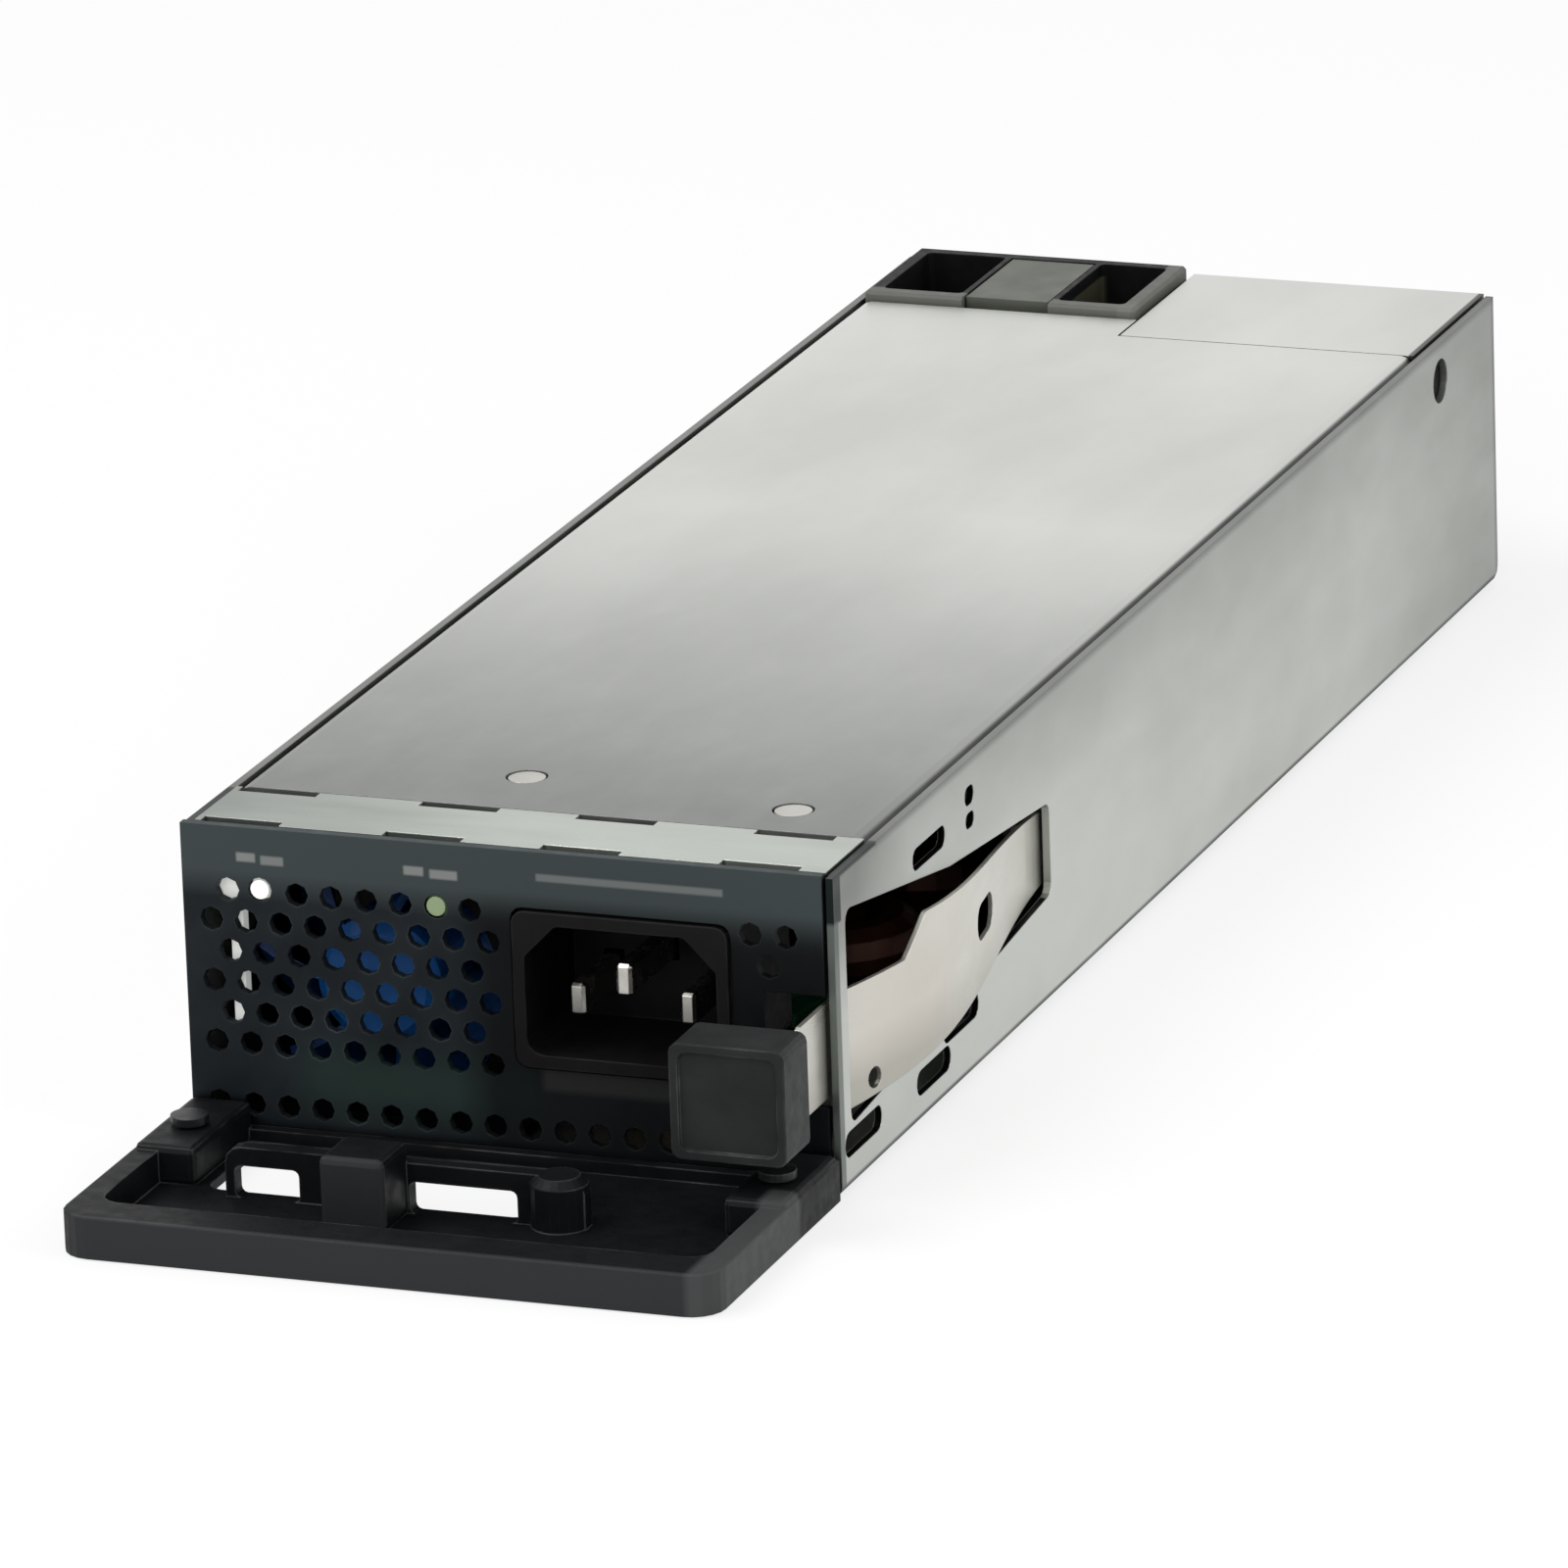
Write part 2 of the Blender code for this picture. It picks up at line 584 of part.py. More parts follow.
def make_chassis():
    ys = (FRONT + EDGE_SETBACK, REAR)
    chassis = folded_channel("chassis", HALF_WIDTH, ys, CASE_HEIGHT - GAP, 0, "galvanised")
    # The front panel stands on the bottom sheet and covers the left wall's front edge
    panel_seat = box(
        "panel_seat",
        (-HALF_WIDTH - SHEET, INNER_X + TAB_MARGIN),
        (FRONT - SHEET, PANEL_REAR + GAP),
        (SHEET + TAB_MARGIN, CASE_HEIGHT + SHEET),
    )
    corner = WINDOW_CORNER
    window = wall_cutter("latch_window", rounded([
        (depth(WINDOW_FRONT), window_height(WINDOW_FRONT, False)),
        (depth(WINDOW_REAR), window_height(WINDOW_REAR, False)),
        (depth(WINDOW_REAR), window_height(WINDOW_REAR, True)),
        (depth(WINDOW_MIDDLE), window_height(WINDOW_MIDDLE, True) - WINDOW_SAG),
        (depth(WINDOW_FRONT), window_height(WINDOW_FRONT, True)),
    ], [corner, corner, corner, 0, corner]))
    cut(chassis, panel_seat, window, rear_corner_cutter())
    for number, (at, height, length, tall) in enumerate(WALL_SLOTS, 1):
        outline = slot_outline(depth(at), height, length, tall)
        cut(chassis, wall_cutter(f"low_slot_{number}", outline))
    for number, (at, below, length, tall) in enumerate(UPPER_SLOTS, 1):
        outline = slot_outline(depth(at), CASE_HEIGHT - below, length, tall)
        cut(chassis, wall_cutter(f"high_slot_{number}", outline))
    hole = circle(REAR - WALL_HOLE_FROM_REAR, CASE_HEIGHT - WALL_HOLE_BELOW_TOP, WALL_HOLE_RADIUS)
    cut(chassis, wall_cutter("wall_hole", hole))
    for side, x in ear_sides():
        tab = box(
            f"{side}_handle_tab",
            (x - TAB_WIDTH / 2, x + TAB_WIDTH / 2),
            (depth(-TAB_REACH), depth(PANEL_THICKNESS + SHEET)),
            (TAB_MARGIN, SHEET - TAB_MARGIN),
        )
        join(chassis, tab)
        hole = circle(x, depth(-EAR_SCREW_DEPTH), SCREW_SHANK_RADIUS + GAP, 16)
        cut(chassis, extrusion(f"{side}_tab_hole", [hole], "XY", (-SHEET, 2 * SHEET)))
    return chassis


def ear_sides():
    """Name and centre X of the handle's two ears."""
    x = HALF_WIDTH - EAR_WIDTH / 2
    return (("left", -x), ("right", x))


def cover_screw_spots():
    """X and Y of the cover's screws."""
    return [(HALF_WIDTH - aside, depth(at)) for aside, at in COVER_SCREWS]


def screw_holes(name, radius, zs):
    """Cutters for the cover's screws through a sheet between these heights."""
    return [
        extrusion(f"{name}_{k}", [circle(x, y, radius)], "XY", zs)
        for k, (x, y) in enumerate(cover_screw_spots(), 1)
    ]


def make_top_cover():
    """A shallow channel between the walls, with its skirts inside them and a recess at the rear."""
    ys = (depth(STRIP_REAR + GAP), REAR - RECESS_LENGTH)
    under_skirt = CASE_HEIGHT - COVER_SKIRT
    cover = folded_channel("top_cover", COVER_X, ys, under_skirt, CASE_HEIGHT, "galvanised")
    for_return = box(
        "rear_return_place",
        (DIVIDE_X, HALF_WIDTH),
        (REAR - RETURN_LENGTH, REAR),
        (under_skirt - SHEET, CASE_HEIGHT + SHEET),
    )
    head_room = SCREW_HEAD_RADIUS + GAP
    holes = screw_holes("cover_hole", head_room, (UNDER_COVER - SHEET, CASE_HEIGHT + SHEET))
    return cut(cover, for_return, *holes)


def strip_notches(name, zs):
    """Cutters for the notches along both edges of the strip, through a sheet between these heights."""
    front, rear = PANEL_REAR + GAP, depth(STRIP_REAR)
    edges = {
        "front": (PANEL_REAR - TAB_MARGIN, front + NOTCH_DEPTH),
        "rear": (rear - NOTCH_DEPTH, rear + GAP),
    }
    return [
        box(f"{name}_{edge}_{number}", (x - NOTCH_WIDTH / 2, x + NOTCH_WIDTH / 2), ys, zs)
        for edge, ys in edges.items()
        for number, x in enumerate(STRIP_NOTCHES, 1)
    ]


def make_contact_strip():
    """The bright strip between the panel and the cover, notched along both of its edges."""
    ys = (PANEL_REAR + GAP, depth(STRIP_REAR))
    strip = box("contact_strip", (-COVER_X, COVER_X), ys, (UNDER_COVER, CASE_HEIGHT), "bright_steel")
    return cut(strip, *strip_notches("strip_notch", (UNDER_COVER - SHEET, CASE_HEIGHT + SHEET)))


def make_cover_screws():
    for number, (x, y) in enumerate(cover_screw_spots(), 1):
        seat = (x, y, FLANGE_TOP + GAP)
        headed_pin(
            f"cover_screw_{number}",
            seat,
            SCREW_HEAD_RADIUS,
            SCREW_HEAD_HEIGHT - TAB_MARGIN,
            SCREW_SHANK_RADIUS,
            seat[2] - FLANGE_BOTTOM,
        )


def latch_notch():
    """X and Z limits of the notch in the panel's right edge, which the pressed tongue stays in."""
    return (
        (LEAF_X - LEAF_THICKNESS / 2 - LATCH_TRAVEL, HALF_WIDTH + SHEET),
        (level(TONGUE_LOW - NOTCH_CLEARANCE), level(TONGUE_HIGH + NOTCH_CLEARANCE)),
    )


def is_vent(x, z, panel_right):
    """True where a vent hole has room beside the panel's edges, the lights, the inlet and the notch."""
    edge = VENT_EDGE
    if not -HALF_WIDTH + edge < x < panel_right - edge:
        return False
    inlet_side = INLET_WIDTH / 2 + edge
    inlet_end = INLET_HEIGHT / 2 + edge
    if abs(x - INLET_X) < inlet_side and abs(z - INLET_Z) < inlet_end:
        return False
    if any(math.hypot(x - u, z - v) < VENT_RADIUS + LIGHT_RADIUS + GAP * 3 for u, v in light_spots()):
        return False
    beside_inlet = x > INLET_X - inlet_side
    low_row = z < INLET_Z - inlet_end and x < INLET_X + inlet_side / 2
    high_corner = z > latch_notch()[1][1] + edge and x > INLET_X + inlet_side
    return not beside_inlet or low_row or high_corner


def vent_spots(panel_right):
    """X and Z of the vent holes, in staggered rows. The second row from below has none."""
    row_pitch = VENT_PITCH * math.sin(math.radians(60))
    highest = FLANGE_BOTTOM - VENT_EDGE - GAP
    columns = int(CASE_WIDTH / VENT_PITCH) + 1
    spots = []
    for row in (0, *range(2, VENT_ROWS)):
        z = SEAT + VENT_FOOT + row * row_pitch
        for column in range(columns):
            x = -HALF_WIDTH + VENT_EDGE + (column + row % 2 / 2 + VENT_START) * VENT_PITCH
            if z < highest and is_vent(x, z, panel_right):
                spots.append((x, z))
    return spots


def make_front_panel():
    """The dark sheet front with its vents, and a flange that runs back under the strip and cover."""
    right = INNER_X - GAP
    outer = rectangle((-HALF_WIDTH, right), (SEAT, CASE_HEIGHT))
    panel = extrusion("front_panel", [outer], "XZ", (FRONT, PANEL_REAR), "panel_paint")
    inlet = rounded(rectangle(*inlet_limits(GAP)), INLET_CORNER)
    holes = [circle(x, z, VENT_RADIUS, VENT_SIDES) for x, z in vent_spots(right)]
    lights = [circle(x, z, LIGHT_RADIUS + GAP, 12) for x, z in light_spots()]
    through = (FRONT - SHEET, PANEL_REAR + SHEET)
    cut(panel, extrusion("panel_holes", [inlet, *holes, *lights], "XZ", through))
    xs, zs = latch_notch()
    cut(panel, box("tongue_notch", xs, through, zs))
    skirt_clear = COVER_X - SHEET - BEND_RADIUS - GAP
    flange = box(
        "panel_flange",
        (-skirt_clear, skirt_clear),
        (FRONT + PANEL_THICKNESS / 2, depth(PANEL_FLANGE_REACH)),
        (FLANGE_BOTTOM, FLANGE_TOP),
    )
    join(panel, flange)
    hole_zs = (FLANGE_BOTTOM - SHEET, FLANGE_TOP + SHEET)
    cut(panel, *strip_notches("flange_notch", hole_zs))
    return cut(panel, *screw_holes("flange_hole", SCREW_SHANK_RADIUS + GAP, hole_zs))


def light_spots():
    """X and Z of the two status lights."""
    return [(-HALF_WIDTH + aside, CASE_HEIGHT - below) for aside, below in LIGHT_SPOTS]


def light_guide():
    """Clear bars behind the panel that bring light up and across to the left lens."""
    lens_x, lens_z = light_spots()[0]
    x = -HALF_WIDTH + GUIDE_SPOT
    half = GUIDE_WIDTH / 2
    front = PANEL_REAR + GAP + TAB_MARGIN
    head_zs = (lens_z - LIGHT_RADIUS - 2 * GAP, lens_z + LIGHT_RADIUS - GAP)
    head = box("guide_head", (x - 3 * half, lens_x + GAP), (front, front + GUIDE_THICKNESS), head_zs)
    upright_ys = (front + TAB_MARGIN, front + GUIDE_THICKNESS - TAB_MARGIN)
    upright = box("guide_upright", (x - half, x + half), upright_ys, (GUIDE_FOOT, lens_z))
    return head, upright


def make_status_lights():
    """Two lenses through the panel, the left one in one piece with its guide."""
    lenses = []
    for number, (x, z) in enumerate(light_spots(), 1):
        flange_front = LIGHT_FLANGE + GAP + PANEL_THICKNESS
        profile = [
            (0, flange_front),
            (LIGHT_RADIUS, flange_front),
            (LIGHT_RADIUS, LIGHT_FLANGE),
            (LIGHT_RADIUS + 3 * GAP, LIGHT_FLANGE),
            (LIGHT_RADIUS + 3 * GAP, 0),
            (0, 0),
        ]
        seat = (x, PANEL_REAR + GAP + LIGHT_FLANGE, z)
        lenses.append(turned(f"status_light_{number}", profile, seat, "clear_lens", "Y", 16))
    join(lenses[0], *light_guide())
    return lenses


def inlet_limits(clearance=0.0):
    """X and Z limits of the inlet's body, or of the panel's hole around it."""
    half_width = INLET_WIDTH / 2 + clearance
    half_height = INLET_HEIGHT / 2 + clearance
    return (
        (INLET_X - half_width, INLET_X + half_width),
        (INLET_Z - half_height, INLET_Z + half_height),
    )


def inlet_pins():
    """Name, X, Z and tip depth of the inlet's three pins."""
    return (
        ("line_pin", INLET_X - PIN_SPREAD, PIN_Z, PIN_TIP),
        ("neutral_pin", INLET_X + PIN_SPREAD, PIN_Z, PIN_TIP),
        ("earth_pin", INLET_X, PIN_Z + EARTH_RAISE, EARTH_TIP),
    )


def make_inlet():
    """The mains inlet: a moulded shell with a chamfered socket and three blades through its back."""
    body = rounded(rectangle(*inlet_limits()), INLET_CORNER)
    ends = (depth(-INLET_PROUD), depth(INLET_DEPTH))
    shell = extrusion("inlet_housing", [body], "XZ", ends, "black_plastic")
    xs = (INLET_X - SOCKET_WIDTH / 2, INLET_X + SOCKET_WIDTH / 2)
    zs = (INLET_Z - SOCKET_HEIGHT / 2, INLET_Z + SOCKET_HEIGHT / 2)
    mouth = rounded([
        (xs[0], zs[0]),
        (xs[1], zs[0]),
        (xs[1], zs[1] - SOCKET_CHAMFER),
        (xs[1] - SOCKET_CHAMFER, zs[1]),
        (xs[0] + SOCKET_CHAMFER, zs[1]),
        (xs[0], zs[1] - SOCKET_CHAMFER),
    ], [SOCKET_CORNER] * 2 + [SOCKET_CORNER / 2] * 4)
    socket_ends = (depth(-INLET_PROUD - SHEET), depth(SOCKET_DEPTH))
    cut(shell, extrusion("socket", [mouth], "XZ", socket_ends))
    for name, x, z, tip in inlet_pins():
        half = (PIN_THICKNESS / 2, PIN_HEIGHT / 2)
        hole_x = (x - half[0] - GAP, x + half[0] + GAP)
        hole_z = (z - half[1] - GAP, z + half[1] + GAP)
        cut(shell, box(f"{name}_hole", hole_x, (depth(SOCKET_DEPTH / 2), depth(INLET_DEPTH + SHEET)), hole_z))
        ys = (depth(tip), depth(INLET_DEPTH + PIN_TAIL))
        pin = box(name, (x - half[0], x + half[0]), ys, (z - half[1], z + half[1]), "nickel")
        bevel(pin, FINE_EDGE, 1)
    return shell


def make_fan_frame():
    """A square frame around a round bore, with the motor's plate on two struts at its rear."""
    xs = (FAN_X - FAN_SIDE / 2, FAN_X + FAN_SIDE / 2)
    zs = (FAN_Z - FAN_SIDE / 2, FAN_Z + FAN_SIDE / 2)
    outlines = [rounded(rectangle(xs, zs), FAN_CORNER), circle(FAN_X, FAN_Z, FAN_BORE, 40)]
    frame = extrusion("fan_frame", outlines, "XZ", (FAN_FRONT, FAN_REAR), "black_plastic")
    plate_ys = (FAN_REAR - MOTOR_PLATE, FAN_REAR)
    for number, turn in enumerate((45, 135), 1):
        strut = box(
            f"fan_strut_{number}",
            (-FAN_BORE - FAN_RIM / 2, FAN_BORE + FAN_RIM / 2),
            (plate_ys[0] + TAB_MARGIN, plate_ys[1] - TAB_MARGIN),
            (-STRUT_WIDTH / 2, STRUT_WIDTH / 2),
        )
        strut.rotation_euler = (0, math.radians(turn), 0)
        strut.location.x = FAN_X
        strut.location.z = FAN_Z
        join(frame, strut)
    motor = circle(FAN_X, FAN_Z, FAN_HUB_RADIUS, 24)
    join(frame, extrusion("motor_plate", [motor], "XZ", plate_ys))
    bearing = circle(FAN_X, FAN_Z, SHAFT_RADIUS + GAP, 16)
    bearing_ys = (plate_ys[0] - SHEET, plate_ys[1] + SHEET)
    return smooth(cut(frame, extrusion("bearing", [bearing], "XZ", bearing_ys)))


def fan_blade(number):
    """One blade: a strip from the hub to the tip that leans further back towards the tip."""
    mesh = bpy.data.meshes.new(f"blade_{number}")
    strip = bmesh.new()
    bmesh.ops.create_grid(strip, x_segments=3, y_segments=5, size=1)
    rotor_length = FAN_DEPTH - MOTOR_PLATE - 4 * GAP
    tip = FAN_BORE - FAN_TIP_CLEARANCE
    root = FAN_HUB_RADIUS - BLADE_THICKNESS
    start = 2 * math.pi * number / FAN_BLADES
    for vert in strip.verts:
        across, along = vert.co.x, vert.co.y
        radius = root + (tip - root) * (across + 1) / 2
        angle = start + BLADE_TWIST * along * (0.6 + 0.4 * (across + 1) / 2)
        back = rotor_length * (0.5 + 0.42 * along)
        vert.co = (radius * math.cos(angle), back, radius * math.sin(angle))
    strip.to_mesh(mesh)
    strip.free()
    blade = bpy.data.objects.new(mesh.name, mesh)
    blade.location = (FAN_X, FAN_FRONT + GAP, FAN_Z)
    skin = blade.modifiers.new("Thickness", "SOLIDIFY")
    skin.thickness = BLADE_THICKNESS
    skin.offset = 0
    return place(blade, None)


def make_fan_rotor():
    """Hub, shaft and blades, with the origin on the shaft's axis."""
    hub_length = FAN_DEPTH - MOTOR_PLATE - 3 * GAP
    profile = [
        (0, 0),
        (FAN_HUB_RADIUS - FAN_HUB_EDGE, 0),
        (FAN_HUB_RADIUS, -FAN_HUB_EDGE),
        (FAN_HUB_RADIUS, -hub_length),
        (SHAFT_RADIUS, -hub_length),
        (SHAFT_RADIUS, -hub_length - MOTOR_PLATE),
        (0, -hub_length - MOTOR_PLATE),
    ]
    seat = (FAN_X, FAN_FRONT + GAP, FAN_Z)
    rotor = turned("fan_rotor", profile, seat, "blue_plastic", "Y", 28)
    return join(rotor, *[fan_blade(number) for number in range(FAN_BLADES)])


def leaf_x(at):
    """X of the leaf's middle surface at this depth: flat at both ends and bowed out between."""
    share = (WINDOW_REAR - at) / (WINDOW_REAR - LEAF_BOW_FRONT)
    if not 0 < share < 1:
        return LEAF_X
    return LEAF_X + LEAF_BOW * math.sin(math.pi * share**LEAF_BOW_SKEW)


def leaf_root_limits():
    """Heights of the leaf's lower and upper edge from the window's rear end back."""
    return (
        window_height(WINDOW_REAR, False) + LEAF_EDGE,
        window_height(WINDOW_REAR, True) - LEAF_TOP_EDGE,
    )


def leaf_outline():
    """The leaf seen from the right: a tongue, two shoulders, the taper of the window and the root."""
    rear = WINDOW_REAR + LEAF_ROOT
    root_low, root_high = leaf_root_limits()
    tip_rear = GAP - BUTTON_REAR
    corners = [
        (depth(-TONGUE_REACH), level(TONGUE_TIP_LOW)),
        (depth(tip_rear), level(TONGUE_TIP_LOW)),
        (depth(tip_rear), level(TONGUE_LOW)),
        (depth(LEAF_LOW_NECK), level(TONGUE_LOW)),
        (depth(LEAF_LOW_SHOULDER), window_height(LEAF_LOW_SHOULDER, False) + LEAF_EDGE),
        (depth(WINDOW_REAR), root_low),
        (depth(rear), root_low),
        (depth(rear), root_high),
        (depth(WINDOW_REAR), root_high),
        (depth(LEAF_HIGH_SHOULDER), level(LEAF_SHOULDER_HIGH)),
        (depth(LEAF_HIGH_NECK), level(TONGUE_HIGH)),
        (depth(tip_rear), level(TONGUE_HIGH)),
        (depth(tip_rear), level(TONGUE_TIP_HIGH)),
        (depth(-TONGUE_REACH), level(TONGUE_TIP_HIGH)),
    ]
    return rounded(corners, LEAF_CORNER, 2)


def make_latch_spring():
    """The bowed leaf of spring steel: a curved strip cut to its outline, turning about its root."""
    mesh = bpy.data.meshes.new("latch_spring")
    strip = bmesh.new()
    bmesh.ops.create_grid(strip, x_segments=40, y_segments=1, size=1)
    first = -TONGUE_REACH - SHEET
    last = WINDOW_REAR + LEAF_ROOT + SHEET
    for vert in strip.verts:
        at = first + (last - first) * (vert.co.x + 1) / 2
        vert.co = (leaf_x(at) - LEAF_X, depth(at) - PIVOT_Y, vert.co.y * MID_HEIGHT)
    strip.to_mesh(mesh)
    strip.free()
    leaf = bpy.data.objects.new("latch_spring", mesh)
    leaf.location = (LEAF_X, PIVOT_Y, MID_HEIGHT)
    skin = leaf.modifiers.new("Leaf", "SOLIDIFY")
    skin.thickness = LEAF_THICKNESS
    skin.offset = 0
    smooth(place(leaf, "bright_steel"))
    through = (LEAF_X - LEAF_BOW, LEAF_X + 2 * LEAF_BOW)
    boolean(leaf, extrusion("leaf_shape", [leaf_outline()], "YZ", through), "INTERSECT")
    at, length, height = LEAF_SLOT
    slot = slot_outline(depth(at), MID_HEIGHT, length, height)
    holes = [circle(depth(at), level(height), radius, 12) for at, height, radius in LEAF_HOLES]
    studs = [circle(PIVOT_Y, z, STUD_SHANK + GAP, 16) for z in stud_heights()]
    for number, outline in enumerate((slot, *holes, *studs), 1):
        cut(leaf, extrusion(f"leaf_opening_{number}", [outline], "YZ", through))
    return leaf


def stud_heights():
    """Heights of the two studs, either side of the middle of the leaf's root."""
    middle = sum(leaf_root_limits()) / 2
    return (middle - STUD_SPREAD / 2, middle + STUD_SPREAD / 2)


def make_latch_studs():
    """Studs welded to the inside of the right wall, with their heads over the leaf's root."""
    under_head = LEAF_X - LEAF_THICKNESS / 2 - GAP
    for name, z in zip(("lower", "upper"), stud_heights()):
        headed_pin(
            f"latch_stud_{name}",
            (under_head, PIVOT_Y, z),
            STUD_HEAD,
            STUD_HEAD_HEIGHT,
            STUD_SHANK,
            INNER_X - GAP - under_head,
            "X",
        )


def make_latch_button():
    """The thumb pad in front of the panel, dished in its face, with a slot for the tongue's tip."""
    right = HALF_WIDTH - BUTTON_INSET
    xs = (right - BUTTON_WIDTH, right)
    ys = (depth(-BUTTON_FRONT), depth(-BUTTON_REAR))
    zs = (level(BUTTON_LOW), level(BUTTON_HIGH))
    outline = rounded(rectangle(xs, zs), BUTTON_CORNER)
    button = extrusion("latch_button", [outline], "XZ", ys, "black_plastic")
    bevel(button, FINE_EDGE, 2)
    dish_xs = (xs[0] + BUTTON_RIM, xs[1] - BUTTON_RIM)
    dish_zs = (zs[0] + BUTTON_RIM, zs[1] - BUTTON_RIM)
    dish = rounded(rectangle(dish_xs, dish_zs), BUTTON_CORNER)
    cut(button, extrusion("button_dish", [dish], "XZ", (ys[0] - SHEET, ys[0] + BUTTON_DISH)))
    clear = LEAF_THICKNESS / 2 + GAP
    tongue_room = box(
        "tongue_room",
        (LEAF_X - clear, LEAF_X + clear),
        (depth(-TONGUE_REACH - GAP), ys[1] + SHEET),
        (level(TONGUE_TIP_LOW) - GAP, level(TONGUE_TIP_HIGH) + GAP),
    )
    return cut(button, tongue_room)


def make_handle_tray():
    """The moulded shelf: a rimmed tray with a finger slot, a windowed bridge, a block and two ears."""
    back = TRAY_REAR
    front = depth(-TRAY_REACH)
    xs = (-HALF_WIDTH, HALF_WIDTH)
    radii = [TRAY_CORNER, TRAY_CORNER, 0, 0]
    base = rounded(rectangle(xs, (front, back)), radii, 5)
    tray = extrusion("handle_tray", [base], "XY", (0, TRAY_RIM), "black_plastic")
    bevel(tray, SOFT_EDGE, 2)
    inner_x = HALF_WIDTH - TRAY_SIDE
    inner_ys = (front + TRAY_LIP, back - TRAY_BACK)
    pocket = rounded(rectangle((-inner_x, inner_x), inner_ys), TRAY_INNER_CORNER)
    low_back = box(
        "low_back",
        (-inner_x, inner_x),
        (back - TRAY_BACK - SHEET, back + SHEET),
        (TRAY_BACK_HEIGHT, TRAY_RIM + SHEET),
    )
    cut(tray, extrusion("tray_pocket", [pocket], "XY", (TRAY_FLOOR, TRAY_RIM + SHEET)), low_back)
    for side, x in ear_sides():
        half = EAR_WIDTH / 2 - TAB_MARGIN
        ear_ys = (depth(-EAR_FRONT), back - TAB_MARGIN)
        ear = box(f"{side}_ear", (x - half, x + half), ear_ys, (SHEET, EAR_HEIGHT))
        join(tray, bevel(ear, SOFT_EDGE, 2))
    corner = BRIDGE_CORNER
    bridge = rounded(rectangle((BRIDGE_LEFT, BRIDGE_RIGHT), (SHEET, BRIDGE_HEIGHT)), [0, 0, corner, corner])
    bridge_ys = (BRIDGE_Y - BRIDGE_THICKNESS / 2, BRIDGE_Y + BRIDGE_THICKNESS / 2)
    join(tray, extrusion("bridge", [bridge], "XZ", bridge_ys))
    block = box(
        "strap_block",
        (BLOCK_LEFT, BLOCK_RIGHT),
        (BRIDGE_Y - BLOCK_REACH, BRIDGE_Y),
        (SHEET, BLOCK_HEIGHT),
    )
    join(tray, bevel(block, SOFT_EDGE, 2))
    post_profile = [
        (0, BRIDGE_HEIGHT),
        (POST_RADIUS - SHEET, BRIDGE_HEIGHT),
        (POST_RADIUS, BRIDGE_HEIGHT - SHEET),
        (POST_RADIUS, SHEET),
        (0, SHEET),
    ]
    join(tray, turned("bridge_post", post_profile, (BRIDGE_RIGHT - POST_RADIUS, BRIDGE_Y, 0)))
    slot_ys = (depth(-SLOT_FRONT), depth(-SLOT_REAR))
    slot = rounded(rectangle((SLOT_LEFT, SLOT_RIGHT), slot_ys), SLOT_CORNER)
    cut(tray, extrusion("finger_slot", [slot], "XY", (-SHEET, TRAY_FLOOR + SHEET)))
    for number, ends in enumerate(BRIDGE_WINDOWS, 1):
        window = rounded(rectangle(ends, (TRAY_FLOOR, BRIDGE_WINDOW_HIGH)), SOFT_EDGE)
        window_ys = (BRIDGE_Y - BRIDGE_THICKNESS, BRIDGE_Y + BRIDGE_THICKNESS)
        cut(tray, extrusion(f"bridge_window_{number}", [window], "XZ", window_ys))
    for side, x in ear_sides():
        recess = box(
            f"{side}_tab_recess",
            (x - TAB_WIDTH / 2 - GAP, x + TAB_WIDTH / 2 + GAP),
            (depth(-TAB_REACH) - GAP, back + SHEET),
            (-SHEET, SHEET + GAP),
        )
        hole = circle(x, depth(-EAR_SCREW_DEPTH), SCREW_SHANK_RADIUS + GAP, 16)
        cut(tray, recess, extrusion(f"{side}_ear_hole", [hole], "XY", (0, EAR_HEIGHT + SHEET)))
    return tray


def make_handle_screws():
    for side, x in ear_sides():
        headed_pin(
            f"handle_screw_{side}",
            (x, depth(-EAR_SCREW_DEPTH), EAR_HEIGHT + GAP),
            SCREW_HEAD_RADIUS,
            SCREW_HEAD_HEIGHT,
            SCREW_SHANK_RADIUS,
            EAR_HEIGHT + GAP - TAB_MARGIN,
            finish="black_steel",
        )


def make_rear_panel():
    """The vented right part of the rear, with a return that closes the top beside the connector."""
    xs = (DIVIDE_X + GAP, COVER_X)
    ys = (REAR - SHEET, REAR)
    outer = rectangle(xs, (SEAT, CASE_HEIGHT - SHEET / 2))
    centre = sum(xs) / 2
    holes = []
    for row in range(REAR_VENT_ROWS):
        for column in range(REAR_VENT_COLUMNS):
            shift = (row % 2 - 0.5) / 2
            x = centre + (column - (REAR_VENT_COLUMNS - 1) / 2 + shift) * REAR_VENT_PITCH
            offset = (row - (REAR_VENT_ROWS - 1) / 2) * REAR_VENT_PITCH * math.sin(math.radians(60))
            holes.append(circle(x, MID_HEIGHT + offset, REAR_VENT_RADIUS, 6, math.pi / 6))
    panel = extrusion("rear_panel", [outer], "XZ", ys, "galvanised")
    cut(panel, extrusion("rear_vents", holes, "XZ", (ys[0] - SHEET, ys[1] + SHEET)))
    lid = box("rear_return", xs, (REAR - RETURN_LENGTH + GAP, REAR), (UNDER_COVER, CASE_HEIGHT))
    return join(panel, lid)


